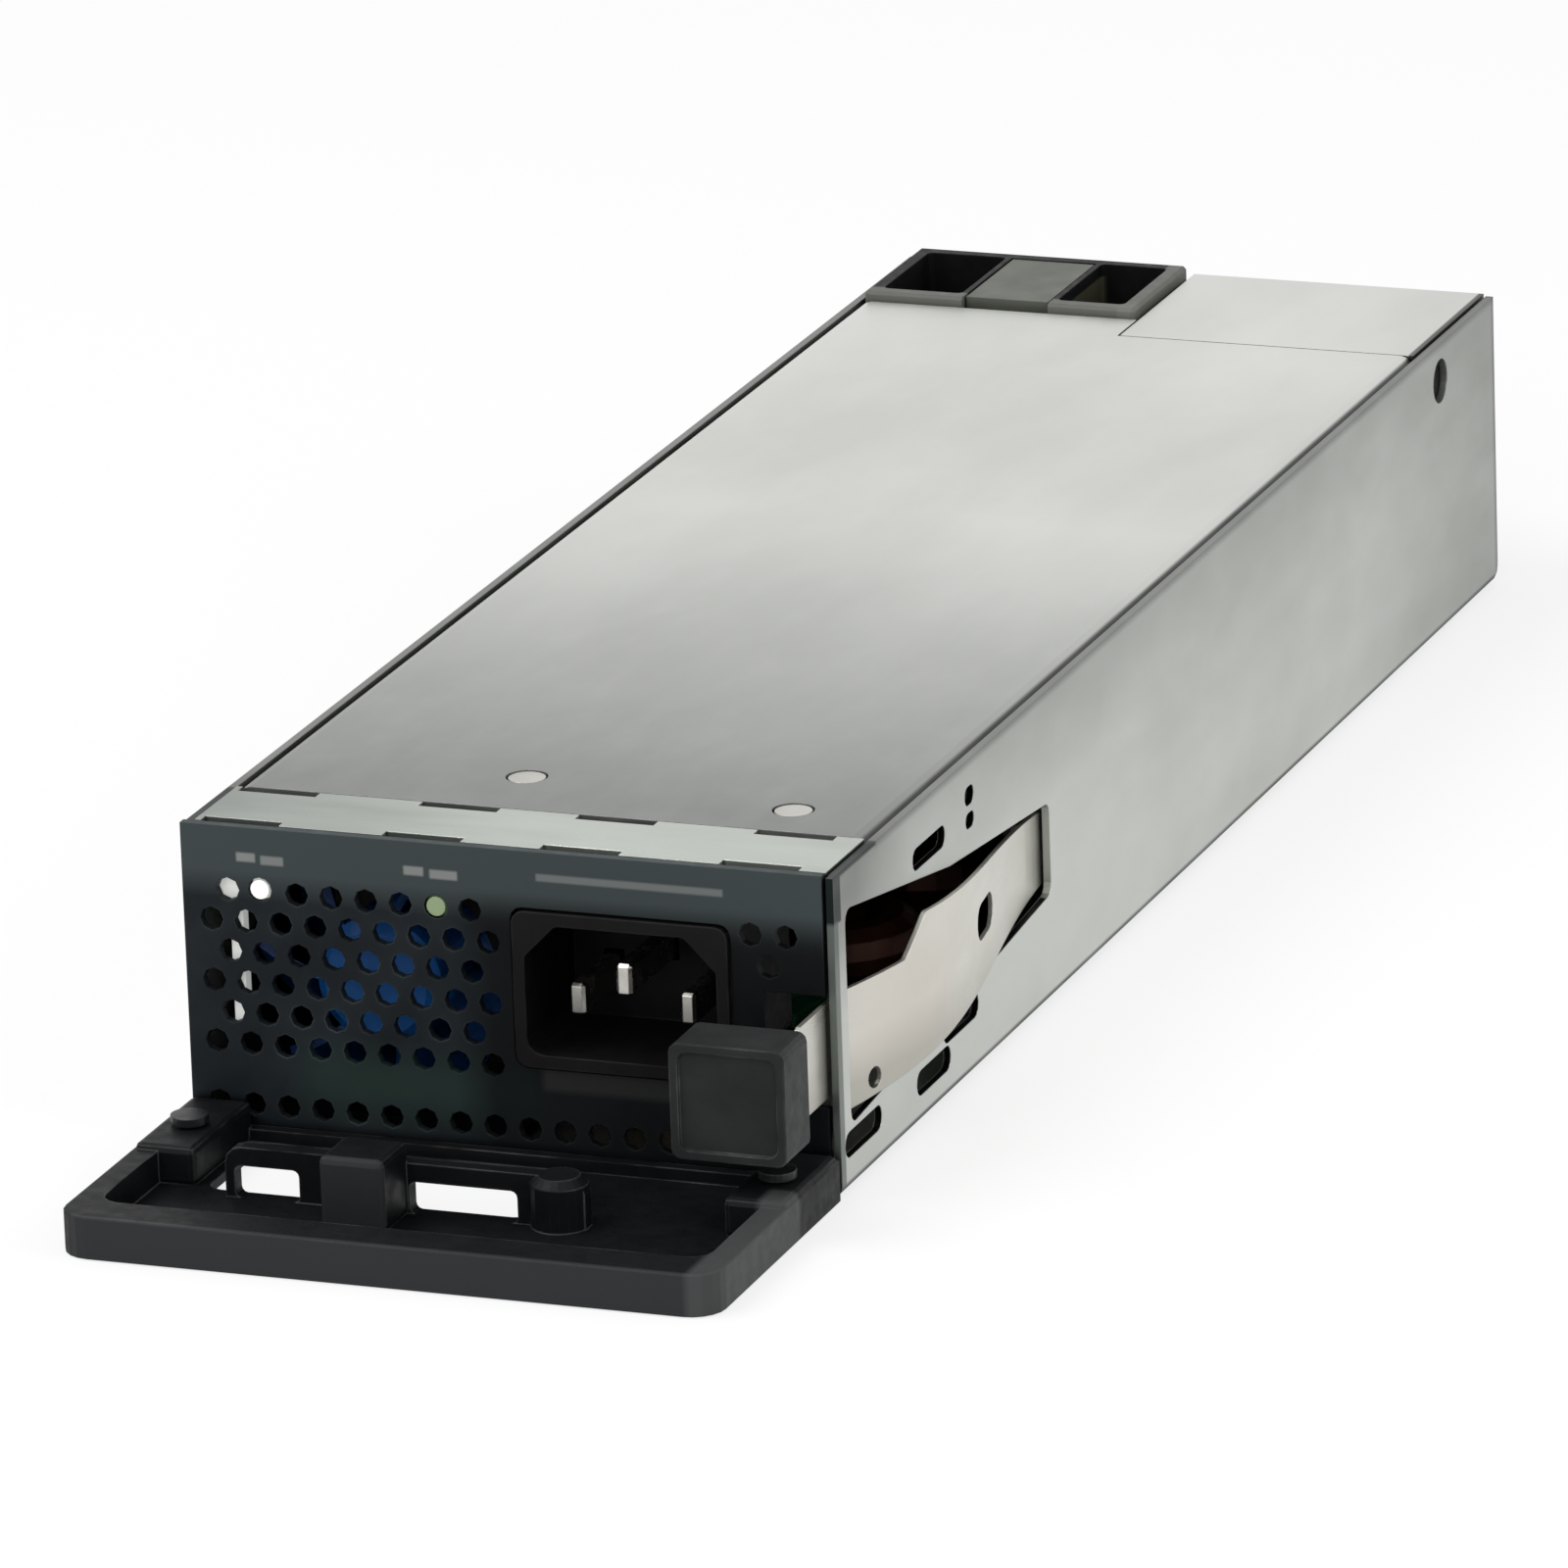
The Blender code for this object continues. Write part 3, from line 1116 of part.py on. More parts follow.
def make_connector():
    """The output connector: a moulded block with two wells open above and blade slots at the rear."""
    xs = (-INNER_X + 2 * GAP, DIVIDE_X - 2 * GAP)
    ys = (CONNECTOR_FRONT, REAR - GAP)
    zs = (BOARD_SEAT, CASE_HEIGHT + CONNECTOR_PROUD)
    above = zs[1] + SHEET
    housing = box("connector_housing", xs, ys, zs, "black_plastic")
    bevel(housing, FINE_EDGE, 1)
    wells = ((xs[0] + WELL_WALL, BAND_LEFT), (BAND_RIGHT, xs[1] - WELL_WALL))
    well_ys = (ys[0] + WELL_WALL, ys[1] - WELL_WALL)
    for number, ends in enumerate(wells, 1):
        well = rounded(rectangle(ends, well_ys), SOFT_EDGE)
        cut(housing, extrusion(f"well_{number}", [well], "XY", (WELL_FLOOR, above)))
    pitch = (xs[1] - xs[0]) / BLADE_SLOTS
    slot_z = (BOARD_SEAT + WELL_WALL, BOARD_SEAT + WELL_WALL + BLADE_SLOT_HEIGHT)
    for number in range(BLADE_SLOTS):
        x = xs[0] + pitch * (number + 0.5)
        half = BLADE_SLOT_WIDTH / 2
        slot_ys = (ys[1] - BLADE_SLOT_DEPTH, ys[1] + SHEET)
        cut(housing, box(f"blade_slot_{number}", (x - half, x + half), slot_ys, slot_z))
        thin = CONTACT_THICKNESS / 2
        tail_ys = (ys[1] - BLADE_SLOT_DEPTH - 2 * SHEET, ys[1] - BLADE_SLOT_DEPTH + SHEET)
        tail_z = (slot_z[0] + SHEET, slot_z[1] - SHEET)
        tail = box(f"tail_room_{number}", (x - thin - GAP, x + thin + GAP), tail_ys, tail_z)
        cut(housing, tail)
        contact = box(
            f"output_contact_{number + 1}",
            (x - thin, x + thin),
            (tail_ys[0] + GAP, ys[1] - 2 * WELL_WALL),
            (tail_z[0] + GAP, tail_z[1] - GAP),
            "nickel",
        )
        bevel(contact, FINE_EDGE, 1)
    card_xs = (BAND_LEFT + SHEET, BAND_RIGHT - SHEET)
    card_zs = (zs[1] - TAB_MARGIN - CARD_THICKNESS, zs[1] - TAB_MARGIN)
    seat = box(
        "card_seat",
        (card_xs[0] - GAP, card_xs[1] + GAP),
        (ys[0] - SHEET, ys[1] - WELL_WALL),
        (card_zs[0] - GAP, above),
    )
    cut(housing, seat)
    card_ys = (ys[0] + SHEET, ys[1] - WELL_WALL - GAP)
    box("output_card", card_xs, card_ys, card_zs, "board_green")
    return housing


def board_spots():
    """X and Y of the board's four standoffs."""
    xs = (BOARD_LEFT + STANDOFF_INSET, BOARD_RIGHT - STANDOFF_INSET)
    ys = (BOARD_FRONT + STANDOFF_INSET, CONNECTOR_FRONT - STANDOFF_INSET)
    return [(x, y) for y in ys for x in xs]


def make_board():
    """The main board on four standoffs, each with its screw."""
    zs = (BOARD_BOTTOM, BOARD_TOP)
    xs = (BOARD_LEFT, BOARD_RIGHT)
    board = box("main_board", xs, (BOARD_FRONT, BOARD_REAR), zs, "board_green")
    for number, (x, y) in enumerate(board_spots(), 1):
        hole = circle(x, y, SCREW_SHANK_RADIUS + GAP, 16)
        through = (BOARD_BOTTOM - SHEET, BOARD_TOP + SHEET)
        cut(board, extrusion(f"board_hole_{number}", [hole], "XY", through))
        outer = circle(x, y, STANDOFF_RADIUS, 6)
        standoff_zs = (SEAT, SEAT + STANDOFF_HEIGHT)
        extrusion(f"standoff_{number}", [outer, hole], "XY", standoff_zs, "nickel")
        headed_pin(
            f"board_screw_{number}",
            (x, y, BOARD_SEAT),
            SCREW_HEAD_RADIUS,
            SCREW_HEAD_HEIGHT,
            SCREW_SHANK_RADIUS,
            BOARD_SEAT - SEAT - GAP,
        )
    return board


def board_place(share):
    """World Y at this share of the board's free length."""
    return BOARD_FRONT + share * FREE_LENGTH


def coil_ring(name, x, y, radius):
    """A wound ring core lying on the board, with this radius to the outside of its wire."""
    sides = 10
    wire = WIRE_SHARE * radius
    ring = [
        (radius - wire + wire * math.cos(a), wire * math.sin(a))
        for a in (2 * math.pi * k / sides for k in range(sides, -1, -1))
    ]
    return turned(name, ring, (x, y, BOARD_SEAT + wire), "copper", "Z", 24)


def standing_can(name, x, y, radius, top, finish):
    profile = [
        (0, top),
        (radius - SOFT_EDGE, top),
        (radius, top - SOFT_EDGE),
        (radius, BOARD_SEAT),
        (0, BOARD_SEAT),
    ]
    return turned(name, profile, (x, y, 0), finish, "Z", 28)


def heatsink(name, left, y):
    """An extruded comb: a base on the board with upright fins along the airflow."""
    pitch = (HEATSINK_WIDTH - HEATSINK_FIN) / (HEATSINK_FINS - 1)
    root = BOARD_SEAT + HEATSINK_BASE
    comb = [(left, BOARD_SEAT), (left + HEATSINK_WIDTH, BOARD_SEAT)]
    for number in reversed(range(HEATSINK_FINS)):
        fin = left + number * pitch
        comb += [(fin + HEATSINK_FIN, root), (fin + HEATSINK_FIN, BOARD_TALL)]
        comb += [(fin, BOARD_TALL), (fin, root)]
    outline = [comb[0], comb[1], *comb[3:-1]]
    half = HEATSINK_LENGTH_SHARE * FREE_LENGTH / 2
    return extrusion(name, [outline], "XZ", (y - half, y + half), "aluminium")


def make_transformer(x, y):
    """A two-window ferrite core with its coil around the middle leg."""
    top = BOARD_TALL - 2 * SHEET
    xs = (x - CORE_WIDTH / 2, x + CORE_WIDTH / 2)
    window_z = (BOARD_SEAT + CORE_YOKE, top - CORE_YOKE)
    half_leg = CORE_LEG / 2
    windows = [
        rectangle((xs[0] + CORE_YOKE, x - half_leg), window_z),
        rectangle((x + half_leg, xs[1] - CORE_YOKE), window_z),
    ]
    ys = (y - CORE_DEPTH / 2, y + CORE_DEPTH / 2)
    outlines = [rectangle(xs, (BOARD_SEAT, top)), *windows]
    extrusion("transformer_core", outlines, "XZ", ys, "ferrite")
    hole_xs = (x - half_leg - GAP, x + half_leg + GAP)
    hole_ys = (ys[0] - GAP, ys[1] + GAP)
    turns = xs[1] - CORE_YOKE - GAP - hole_xs[1]
    outer = rounded(
        rectangle(
            (hole_xs[0] - turns, hole_xs[1] + turns),
            (hole_ys[0] - turns, hole_ys[1] + turns),
        ),
        COIL_CORNER,
    )
    coil_z = (window_z[0] + GAP, window_z[1] - GAP)
    outlines = [outer, rectangle(hole_xs, hole_ys)]
    return extrusion("transformer_coil", outlines, "XY", coil_z, "film_yellow")


def make_board_parts():
    """Filter, storage, conversion and output parts, in the order that the current takes."""
    bulk_radius = BULK_RADIUS_SHARE * FREE_LENGTH
    choke_radius = CHOKE_RADIUS_SHARE * FREE_LENGTH
    inductor_radius = INDUCTOR_RADIUS_SHARE * FREE_LENGTH
    left = BOARD_LEFT + SHEET + bulk_radius
    right = BOARD_RIGHT - SHEET - inductor_radius
    for number, share in enumerate(BULK_PLACES, 1):
        name = f"bulk_capacitor_{number}"
        standing_can(name, left, board_place(share), bulk_radius, BOARD_TALL, "ferrite")
    coil_ring("common_mode_choke", right, board_place(CHOKE_PLACE), choke_radius)
    coil_ring("boost_inductor", right, board_place(INDUCTOR_PLACE), inductor_radius)
    y = board_place(CHOKE_PLACE)
    filter_xs = (left + bulk_radius + PART_CLEARANCE, right - choke_radius - PART_CLEARANCE)
    filter_ys = (y - FILTER_DEPTH / 2, y + FILTER_DEPTH / 2)
    filter_zs = (BOARD_SEAT, BOARD_SEAT + FILTER_HEIGHT)
    bevel(box("filter_capacitor", filter_xs, filter_ys, filter_zs, "film_yellow"), SOFT_EDGE, 1)
    heatsink("input_heatsink", BOARD_MIDDLE - HEATSINK_WIDTH / 4, board_place(INPUT_HEATSINK_PLACE))
    make_transformer(BOARD_MIDDLE, board_place(TRANSFORMER_PLACE))
    heatsink("output_heatsink", BOARD_MIDDLE, board_place(OUTPUT_PLACE))
    pitch = (BOARD_MIDDLE - BOARD_LEFT) / OUTPUT_CAPACITORS
    for number in range(OUTPUT_CAPACITORS):
        x = BOARD_LEFT + (number + 0.5) * pitch
        standing_can(
            f"output_capacitor_{number + 1}",
            x,
            board_place(OUTPUT_PLACE),
            (pitch - PART_CLEARANCE) / 2,
            BOARD_SEAT + OUTPUT_CAPACITOR_HEIGHT,
            "nickel",
        )


clear_scene()
PARTS = new_collection("power_supply_module")
CUTTERS = new_collection("cutters")
make_chassis()
make_top_cover()
make_contact_strip()
make_cover_screws()
make_front_panel()
make_status_lights()
make_inlet()
make_fan_frame()
make_fan_rotor()
make_latch_spring()
make_latch_studs()
make_latch_button()
make_handle_tray()
make_handle_screws()
make_rear_panel()
make_connector()
make_board()
make_board_parts()
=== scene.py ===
"""Looks of the power supply module: finishes, one thin dark film inside that puts shade behind a hole, light
and camera.
"""

import bmesh
import bpy
from mathutils import Matrix, Vector


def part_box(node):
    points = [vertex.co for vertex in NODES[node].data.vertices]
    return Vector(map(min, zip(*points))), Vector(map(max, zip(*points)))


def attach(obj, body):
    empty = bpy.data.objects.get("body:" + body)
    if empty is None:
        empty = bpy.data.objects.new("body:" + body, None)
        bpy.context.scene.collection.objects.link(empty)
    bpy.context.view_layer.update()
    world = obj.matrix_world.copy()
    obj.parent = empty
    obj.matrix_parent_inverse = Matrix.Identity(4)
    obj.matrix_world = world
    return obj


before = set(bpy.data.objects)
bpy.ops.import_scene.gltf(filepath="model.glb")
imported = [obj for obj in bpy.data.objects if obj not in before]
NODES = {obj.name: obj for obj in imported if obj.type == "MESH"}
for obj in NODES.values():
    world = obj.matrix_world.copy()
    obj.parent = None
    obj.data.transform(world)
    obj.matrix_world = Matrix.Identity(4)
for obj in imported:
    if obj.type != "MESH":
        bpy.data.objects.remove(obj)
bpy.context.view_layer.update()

MM = 0.001

# Camera, fitted to the case's corners in the photograph
CAMERA_PLACE = (0.58665, -1.56287, 0.54592)
CAMERA_RIGHT = (0.93683, 0.34823, -0.03286)
CAMERA_BACK = (0.34109, -0.88869, 0.3064)
CAMERA_LENS = 318.1
CAMERA_CLIP = (0.05, 50)
SENSOR_WIDTH = 36.0

# Room
FLOOR_SIZE = 6.0
FLOOR_DROP = 0.1 * MM
FLOOR_SHADOW_SHARE = 0.25
FLOOR_ALBEDO = 0.85
WORLD_LEVEL = 0.62
LAMPS = (  # name, place, target, size in metres, watts
    ("key_light", (-0.7, -0.5, 1.3), (0, 0, 0), 1.0, 12),
    ("side_light", (1.3, -0.2, 0.7), (0, 0, 0), 0.9, 6),
    ("front_light", (0.1, -1.4, 0.9), (0, -0.1, 0), 0.8, 5),
)

# Specular levels: plain plastic has the first, and the dark paint and plastics the others
PLAIN_SPECULAR = 0.5
DULL_SPECULAR = 0.08
SATIN_SPECULAR = 0.12

# Radii of the worn band along an edge, and of the edge's own rounding
WORN_RADIUS = 0.35 * MM
ROUNDED_RADIUS = 0.2 * MM

# Shares of open sky at which a recess gets the full painted shade, and at which it gets none
FULL_SHADE_SHARE = 0.45
NO_SHADE_SHARE = 0.8

# Colours here and below are display values from 0 to 255
# Painted shade for the recesses of sheet metal
SHEET_RECESS_SHADE = (20, 21, 20)
# Painted shade on the walls
ZINC_PAINTED_SHADE = (140, 142, 138)
EDGE_PAINT = (22, 30, 30)

# Places on the model
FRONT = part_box("front_panel")[0].y
WALL_THICKNESS = 1.0 * MM
EDGE_PAINT_FOOT = 34 * MM
WINDOW_END = -53.6 * MM
WINDOW_END_HEIGHTS = (13.4 * MM, 25.8 * MM)
BLOCK_SIDES = (-13.5 * MM, -5.4 * MM)
BLOCK_FRONT = (-155.8 * MM, -154.8 * MM)
BLOCK_HEIGHTS = (2 * MM, 10 * MM)
HUB_RADII = (8.1 * MM, 8.6 * MM)

# Plain pale dashes where the panel carries print: left, right, bottom and top in mm, and share
PANEL_MARKS = (
    (-34.0, -31.9, 35.9, 36.7, 0.6),
    (-30.9, -28.3, 35.7, 36.5, 0.5),
    (-12.6, -10.4, 36.0, 36.8, 0.6),
    (-9.3, -6.1, 35.8, 36.6, 0.6),
    (4.2, 27.4, 36.6, 37.2, 0.35),
)

# The dark film inside the wall, which puts shade behind the wall's hole
FILM_CLEARANCE = 0.05 * MM
FILM_CORNER = 2.5 * MM


def linear(colour):
    """A linear colour from its display values."""
    values = [channel / 255 for channel in colour]
    return tuple(v / 12.92 if v <= 0.04045 else ((v + 0.055) / 1.055) ** 2.4 for v in values)


# Shader nodes


def add_node(tree, kind, inputs=(), **settings):
    """A node with its settings, and its inputs set to values or linked from sockets."""
    made = tree.nodes.new(kind)
    for key, value in settings.items():
        setattr(made, key, value)
    for key, value in dict(inputs).items():
        if isinstance(value, bpy.types.NodeSocket):
            tree.links.new(value, made.inputs[key])
        else:
            made.inputs[key].default_value = value
    return made


def place_socket(tree, stretch=(1, 1, 1)):
    """Object coordinates in metres, stretched along each axis."""
    source = add_node(tree, "ShaderNodeTexCoord").outputs["Object"]
    if stretch == (1, 1, 1):
        return source
    return add_node(tree, "ShaderNodeMapping", {"Vector": source, "Scale": stretch}).outputs[0]


def noise(tree, scale, detail, stretch):
    inputs = {"Vector": place_socket(tree, stretch), "Scale": scale, "Detail": detail}
    return add_node(tree, "ShaderNodeTexNoise", inputs).outputs["Fac"]


def ramp(tree, value, low, high, start=0.0, end=1.0):
    """Maps a value from low..high to start..end and clamps it."""
    inputs = {"Value": value, "From Min": low, "From Max": high, "To Min": start, "To Max": end}
    return add_node(tree, "ShaderNodeMapRange", inputs).outputs[0]


def blend_colours(tree, factor, first, second):
    """A mix of two linear colours or colour sockets."""
    mix = add_node(tree, "ShaderNodeMix", data_type="RGBA")
    for index, value in ((0, factor), (6, first), (7, second)):
        if isinstance(value, bpy.types.NodeSocket):
            tree.links.new(value, mix.inputs[index])
        else:
            mix.inputs[index].default_value = (*value, 1)
    return mix.outputs[2]


def arithmetic(tree, operation, first, second):
    return add_node(tree, "ShaderNodeMath", {0: first, 1: second}, operation=operation).outputs[0]


def edge_mask(tree):
    """One along sharp edges and nothing on flat faces."""
    soft = add_node(tree, "ShaderNodeBevel", {"Radius": WORN_RADIUS}, samples=4).outputs[0]
    flat = add_node(tree, "ShaderNodeNewGeometry").outputs["Normal"]
    dot = add_node(tree, "ShaderNodeVectorMath", {0: soft, 1: flat}, operation="DOT_PRODUCT")
    return ramp(tree, dot.outputs["Value"], 0.99, 0.75)


def recess_mask(tree, reach):
    """One in seams, corners and holes up to about twice the reach wide, and nothing on open faces."""
    share = add_node(tree, "ShaderNodeAmbientOcclusion", {"Distance": reach}, samples=8).outputs["AO"]
    return ramp(tree, share, NO_SHADE_SHARE, FULL_SHADE_SHARE)


def region_mask(tree, x, y, z, soft):
    """One inside the given limits in metres, along the axes that have any, with soft ends."""
    parts = add_node(tree, "ShaderNodeSeparateXYZ", {0: place_socket(tree)}).outputs
    mask = None
    for index, limits in enumerate((x, y, z)):
        if limits is None:
            continue
        rise = ramp(tree, parts[index], limits[0] - soft, limits[0])
        fall = ramp(tree, parts[index], limits[1], limits[1] + soft, 1.0, 0.0)
        inside = arithmetic(tree, "MULTIPLY", rise, fall)
        mask = inside if mask is None else arithmetic(tree, "MULTIPLY", mask, inside)
    return mask


def overlay(material, mask, colour, share=1.0):
    """Lays a colour over a material's own where the mask is one."""
    tree = material.node_tree
    base = tree.nodes["Principled BSDF"].inputs["Base Color"]
    if share != 1.0:
        mask = arithmetic(tree, "MULTIPLY", mask, share)
    tree.links.new(blend_colours(tree, mask, base.links[0].from_socket, linear(colour)), base)


def patch(material, colour, share=1.0, soft=0.3 * MM, x=None, y=None, z=None):
    """Lays a colour over a material's own inside the given limits."""
    overlay(material, region_mask(material.node_tree, x, y, z, soft), colour, share)


def paint_recess_shade(material, reach, colour, share):
    """Lays a dark colour into a material's recesses as painted shade."""
    overlay(material, recess_mask(material.node_tree, reach), colour, share)


def surface(
    name, dark, light, rough, metallic, grain, bump,
    wear=None, stretch=(1, 1, 1), mottle=60.0, specular=PLAIN_SPECULAR,
):
    """A finish: two colours mottled together, roughness that varies, fine bump and worn edges.

    rough is its lowest and highest roughness, grain the fine texture's scale per metre, bump its height
    in metres, and wear the colour and share of the worn edges. One colour given twice isn't mottled.
    """
    material = bpy.data.materials.new(name)
    material.use_nodes = True
    tree = material.node_tree
    shader = tree.nodes["Principled BSDF"]
    shader.inputs["Metallic"].default_value = metallic
    shader.inputs["Specular IOR Level"].default_value = specular
    if dark == light:
        shader.inputs["Base Color"].default_value = (*linear(dark), 1)
    else:
        broad = noise(tree, mottle, 5.0, stretch)
        colour = blend_colours(tree, ramp(tree, broad, 0.35, 0.65), linear(dark), linear(light))
        if wear:
            worn_colour, share = wear
            patchy = ramp(tree, broad, 0.4, 0.6, 0.0, share)
            worn = arithmetic(tree, "MULTIPLY", edge_mask(tree), patchy)
            colour = blend_colours(tree, worn, colour, linear(worn_colour))
        tree.links.new(colour, shader.inputs["Base Color"])
    uneven = noise(tree, grain / 6, 4.0, stretch)
    tree.links.new(ramp(tree, uneven, 0.3, 0.7, *rough), shader.inputs["Roughness"])
    rounded = add_node(tree, "ShaderNodeBevel", {"Radius": ROUNDED_RADIUS}, samples=4).outputs[0]
    fine = noise(tree, grain, 3.0, stretch)
    relief = {"Height": fine, "Distance": bump, "Strength": 1.0, "Normal": rounded}
    tree.links.new(add_node(tree, "ShaderNodeBump", relief).outputs[0], shader.inputs["Normal"])
    return material


def dress(material, *names):
    """Gives CAD nodes this material in place of their plain one."""
    for name in names:
        mesh = NODES[name].data
        mesh.materials.clear()
        mesh.materials.append(material)


def numbered(stem, count):
    return [f"{stem}_{number}" for number in range(1, count + 1)]


# Sheet metal


def make_galvanised(name, dark, light):
    """Zinc-coated sheet with a faint cloudiness, with painted shade in its recesses and none on open faces.
    """
    material = surface(
        name, dark, light, (0.36, 0.50), 0.85, 900.0, 0.003 * MM,
        wear=((214, 215, 210), 0.35), stretch=(1.0, 0.45, 1.0), mottle=30.0,
    )
    paint_recess_shade(material, 2.0 * MM, SHEET_RECESS_SHADE, 0.85)
    return material


def make_case_metal():
    """The case's tub: walls with painted shade along their tops and towards the rear, painted round the
    front edges.
    """
    material = make_galvanised("case_sheet", (176, 179, 174), (194, 197, 192))
    low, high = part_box("chassis")
    top = (high.z, high.z)
    # Painted shade along the walls' tops, towards the rear, and heaviest at the front top
    patch(material, ZINC_PAINTED_SHADE, 0.6, 14 * MM, z=top)
    patch(material, ZINC_PAINTED_SHADE, 0.8, 60 * MM, y=(high.y, high.y))
    patch(material, (112, 114, 110), 0.9, 18 * MM, y=(FRONT, FRONT + 8 * MM), z=top)
    patch(material, EDGE_PAINT, y=(low.y, FRONT + 2.6 * MM), z=(EDGE_PAINT_FOOT, high.z))
    patch(material, (80, 88, 84), 0.8, y=(FRONT, FRONT + 1.6 * MM), z=(0, EDGE_PAINT_FOOT))
    patch(material, EDGE_PAINT, y=(FRONT, FRONT + 15 * MM), z=(high.z - 0.3 * MM, high.z))
    # Painted shade along the walls' bent rear edges
    patch(material, (120, 119, 124), 0.8, y=(high.y - 0.9 * MM, high.y))

    # Painted shade on the foot of both walls, and painted shadow of the seam along their tops
    for side in ((low.x, low.x + 0.3 * MM), (high.x - 0.3 * MM, high.x)):
        patch(material, (34, 34, 33), 0.9, 0.5 * MM, x=side, z=(low.z, 1.2 * MM))
    seam = (high.z - 0.2 * MM, high.z)
    patch(material, (84, 85, 82), 0.6, 0.9 * MM, y=(FRONT + 15 * MM, high.y), z=seam)

    # Painted shade on the cut faces of the right wall's openings, and painted light over the shade at the
    # end of its window
    cut = (high.x - 0.85 * MM, high.x - 0.15 * MM)
    patch(material, (12, 12, 12), 1.0, 0.1 * MM, x=cut, y=(FRONT + 3 * MM, WINDOW_END), z=(2 * MM, 38 * MM))
    face = (high.x - 0.9 * MM, high.x - 0.1 * MM)
    end = (WINDOW_END, WINDOW_END + 2.0 * MM)
    patch(material, (170, 172, 167), 1.0, 0.1 * MM, x=face, y=end, z=WINDOW_END_HEIGHTS)
    return material


def make_cover_metal():
    """The cover: the same sheet, painted paler than the walls as painted light, with painted shade that
    deepens towards the front, and painted shadow along its seams.
    """
    material = make_galvanised("cover_sheet", (196, 197, 193), (210, 211, 207))
    low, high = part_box("top_cover")
    # Painted shade that deepens towards the front
    patch(material, (124, 126, 124), 0.95, 120 * MM, y=(FRONT, FRONT + 20 * MM))
    # Painted shadow along the seams at both sides
    patch(material, (40, 41, 40), 0.9, 0.3 * MM, x=(high.x - 0.5 * MM, high.x))
    patch(material, (40, 41, 40), 0.9, 0.15 * MM, x=(low.x, low.x + 0.2 * MM))
    return material


def make_strip_steel():
    """The bright strip in front of the cover, duller at its left end."""
    material = surface(
        "strip_steel", (158, 164, 157), (180, 185, 178), (0.26, 0.40), 0.85, 1400.0, 0.003 * MM,
        wear=((220, 222, 216), 0.5), stretch=(0.3, 1.0, 1.0), mottle=80.0,
    )
    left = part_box("contact_strip")[0].x
    patch(material, (112, 116, 112), 0.6, 40 * MM, x=(left, left))
    # Painted shade in the strip's notches and seams
    paint_recess_shade(material, 1.0 * MM, SHEET_RECESS_SHADE, 0.9)
    return material


def make_leaf_steel():
    """Bright spring steel, warm in the leaf's middle, duller along its foot, with painted shade in its
    recesses and painted light over that shade at the rear.
    """
    material = surface(
        "leaf_steel", (192, 191, 182), (209, 206, 198), (0.26, 0.40), 0.8, 1400.0, 0.003 * MM,
        wear=((226, 226, 220), 0.5), stretch=(1.0, 0.4, 1.0),
    )
    low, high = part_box("latch_spring")
    middle = (low + high) / 2
    along = (middle.y - 22 * MM, middle.y - 12 * MM)
    patch(material, (212, 198, 189), 0.35, 8 * MM, y=along, z=(middle.z - 2 * MM, middle.z))
    patch(material, (150, 149, 138), 0.6, 6 * MM, z=(low.z, low.z + 3 * MM))
    # Painted shade in the leaf's recesses
    paint_recess_shade(material, 2.5 * MM, SHEET_RECESS_SHADE, 0.9)
    # Painted light over the recess shade at the rear
    patch(material, (188, 188, 180), 0.8, y=(WINDOW_END - 4 * MM, high.y))
    return material


# Paint and plastic


def make_panel_paint():
    """Dark slate paint: paler along the top as a painted reflection, greenish above the lowest holes, darker
    on the right as painted shade.
    """
    material = surface(
        "slate_paint", (24, 28, 31), (32, 37, 40), (0.42, 0.56), 0.0, 2600.0, 0.010 * MM,
        wear=((84, 92, 94), 0.6), mottle=120.0, specular=DULL_SPECULAR,
    )
    low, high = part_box("front_panel")
    # Painted reflection along the top
    patch(material, (60, 67, 68), 0.95, 3.5 * MM, z=(34.5 * MM, high.z))
    patch(material, (36, 52, 47), 0.7, 5 * MM, x=(-24 * MM, 2 * MM), z=(8.4 * MM, 10.2 * MM))
    # Painted shade on the right
    patch(material, (9, 11, 12), 0.85, 5 * MM, x=(-2 * MM, high.x), z=(low.z, 30 * MM))
    patch(material, (38, 38, 38), 0.9, MM, x=(4.5 * MM, 20.5 * MM), z=(10.9 * MM, 13.3 * MM))
    for left, right, bottom, top, share in PANEL_MARKS:
        patch(material, (150, 152, 150), share, x=(left * MM, right * MM), z=(bottom * MM, top * MM))
    # Painted shade in the panel's holes and recesses
    paint_recess_shade(material, 1.5 * MM, (4, 5, 5), 0.9)
    return material


def make_black_plastic(name, dark, light, rough=(0.42, 0.56), worn=(86, 88, 88), share=0.6):
    """Fine-grained dark plastic with rubbed edges."""
    return surface(
        name, dark, light, rough, 0.0, 3200.0, 0.012 * MM,
        wear=(worn, share), mottle=140.0, specular=SATIN_SPECULAR,
    )


def make_tray_plastic():
    """Black, with painted highlights along the front lip and the right rim, and paler on the block."""
    # Its rubbed edges are partly wear and partly painted highlight along the rims
    material = make_black_plastic("tray_plastic", (9, 10, 12), (14, 15, 17), worn=(104, 106, 106), share=0.7)
    low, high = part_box("handle_tray")
    # Painted highlights on the front lip and the right rim
    patch(material, (46, 48, 50), 0.8, y=(low.y, low.y + 0.6 * MM))
    patch(material, (70, 72, 72), 0.7, MM, x=(high.x - 3 * MM, high.x), y=(low.y, low.y + 28 * MM))
    patch(material, (44, 46, 48), 0.8, x=BLOCK_SIDES, y=BLOCK_FRONT, z=BLOCK_HEIGHTS)
    return material


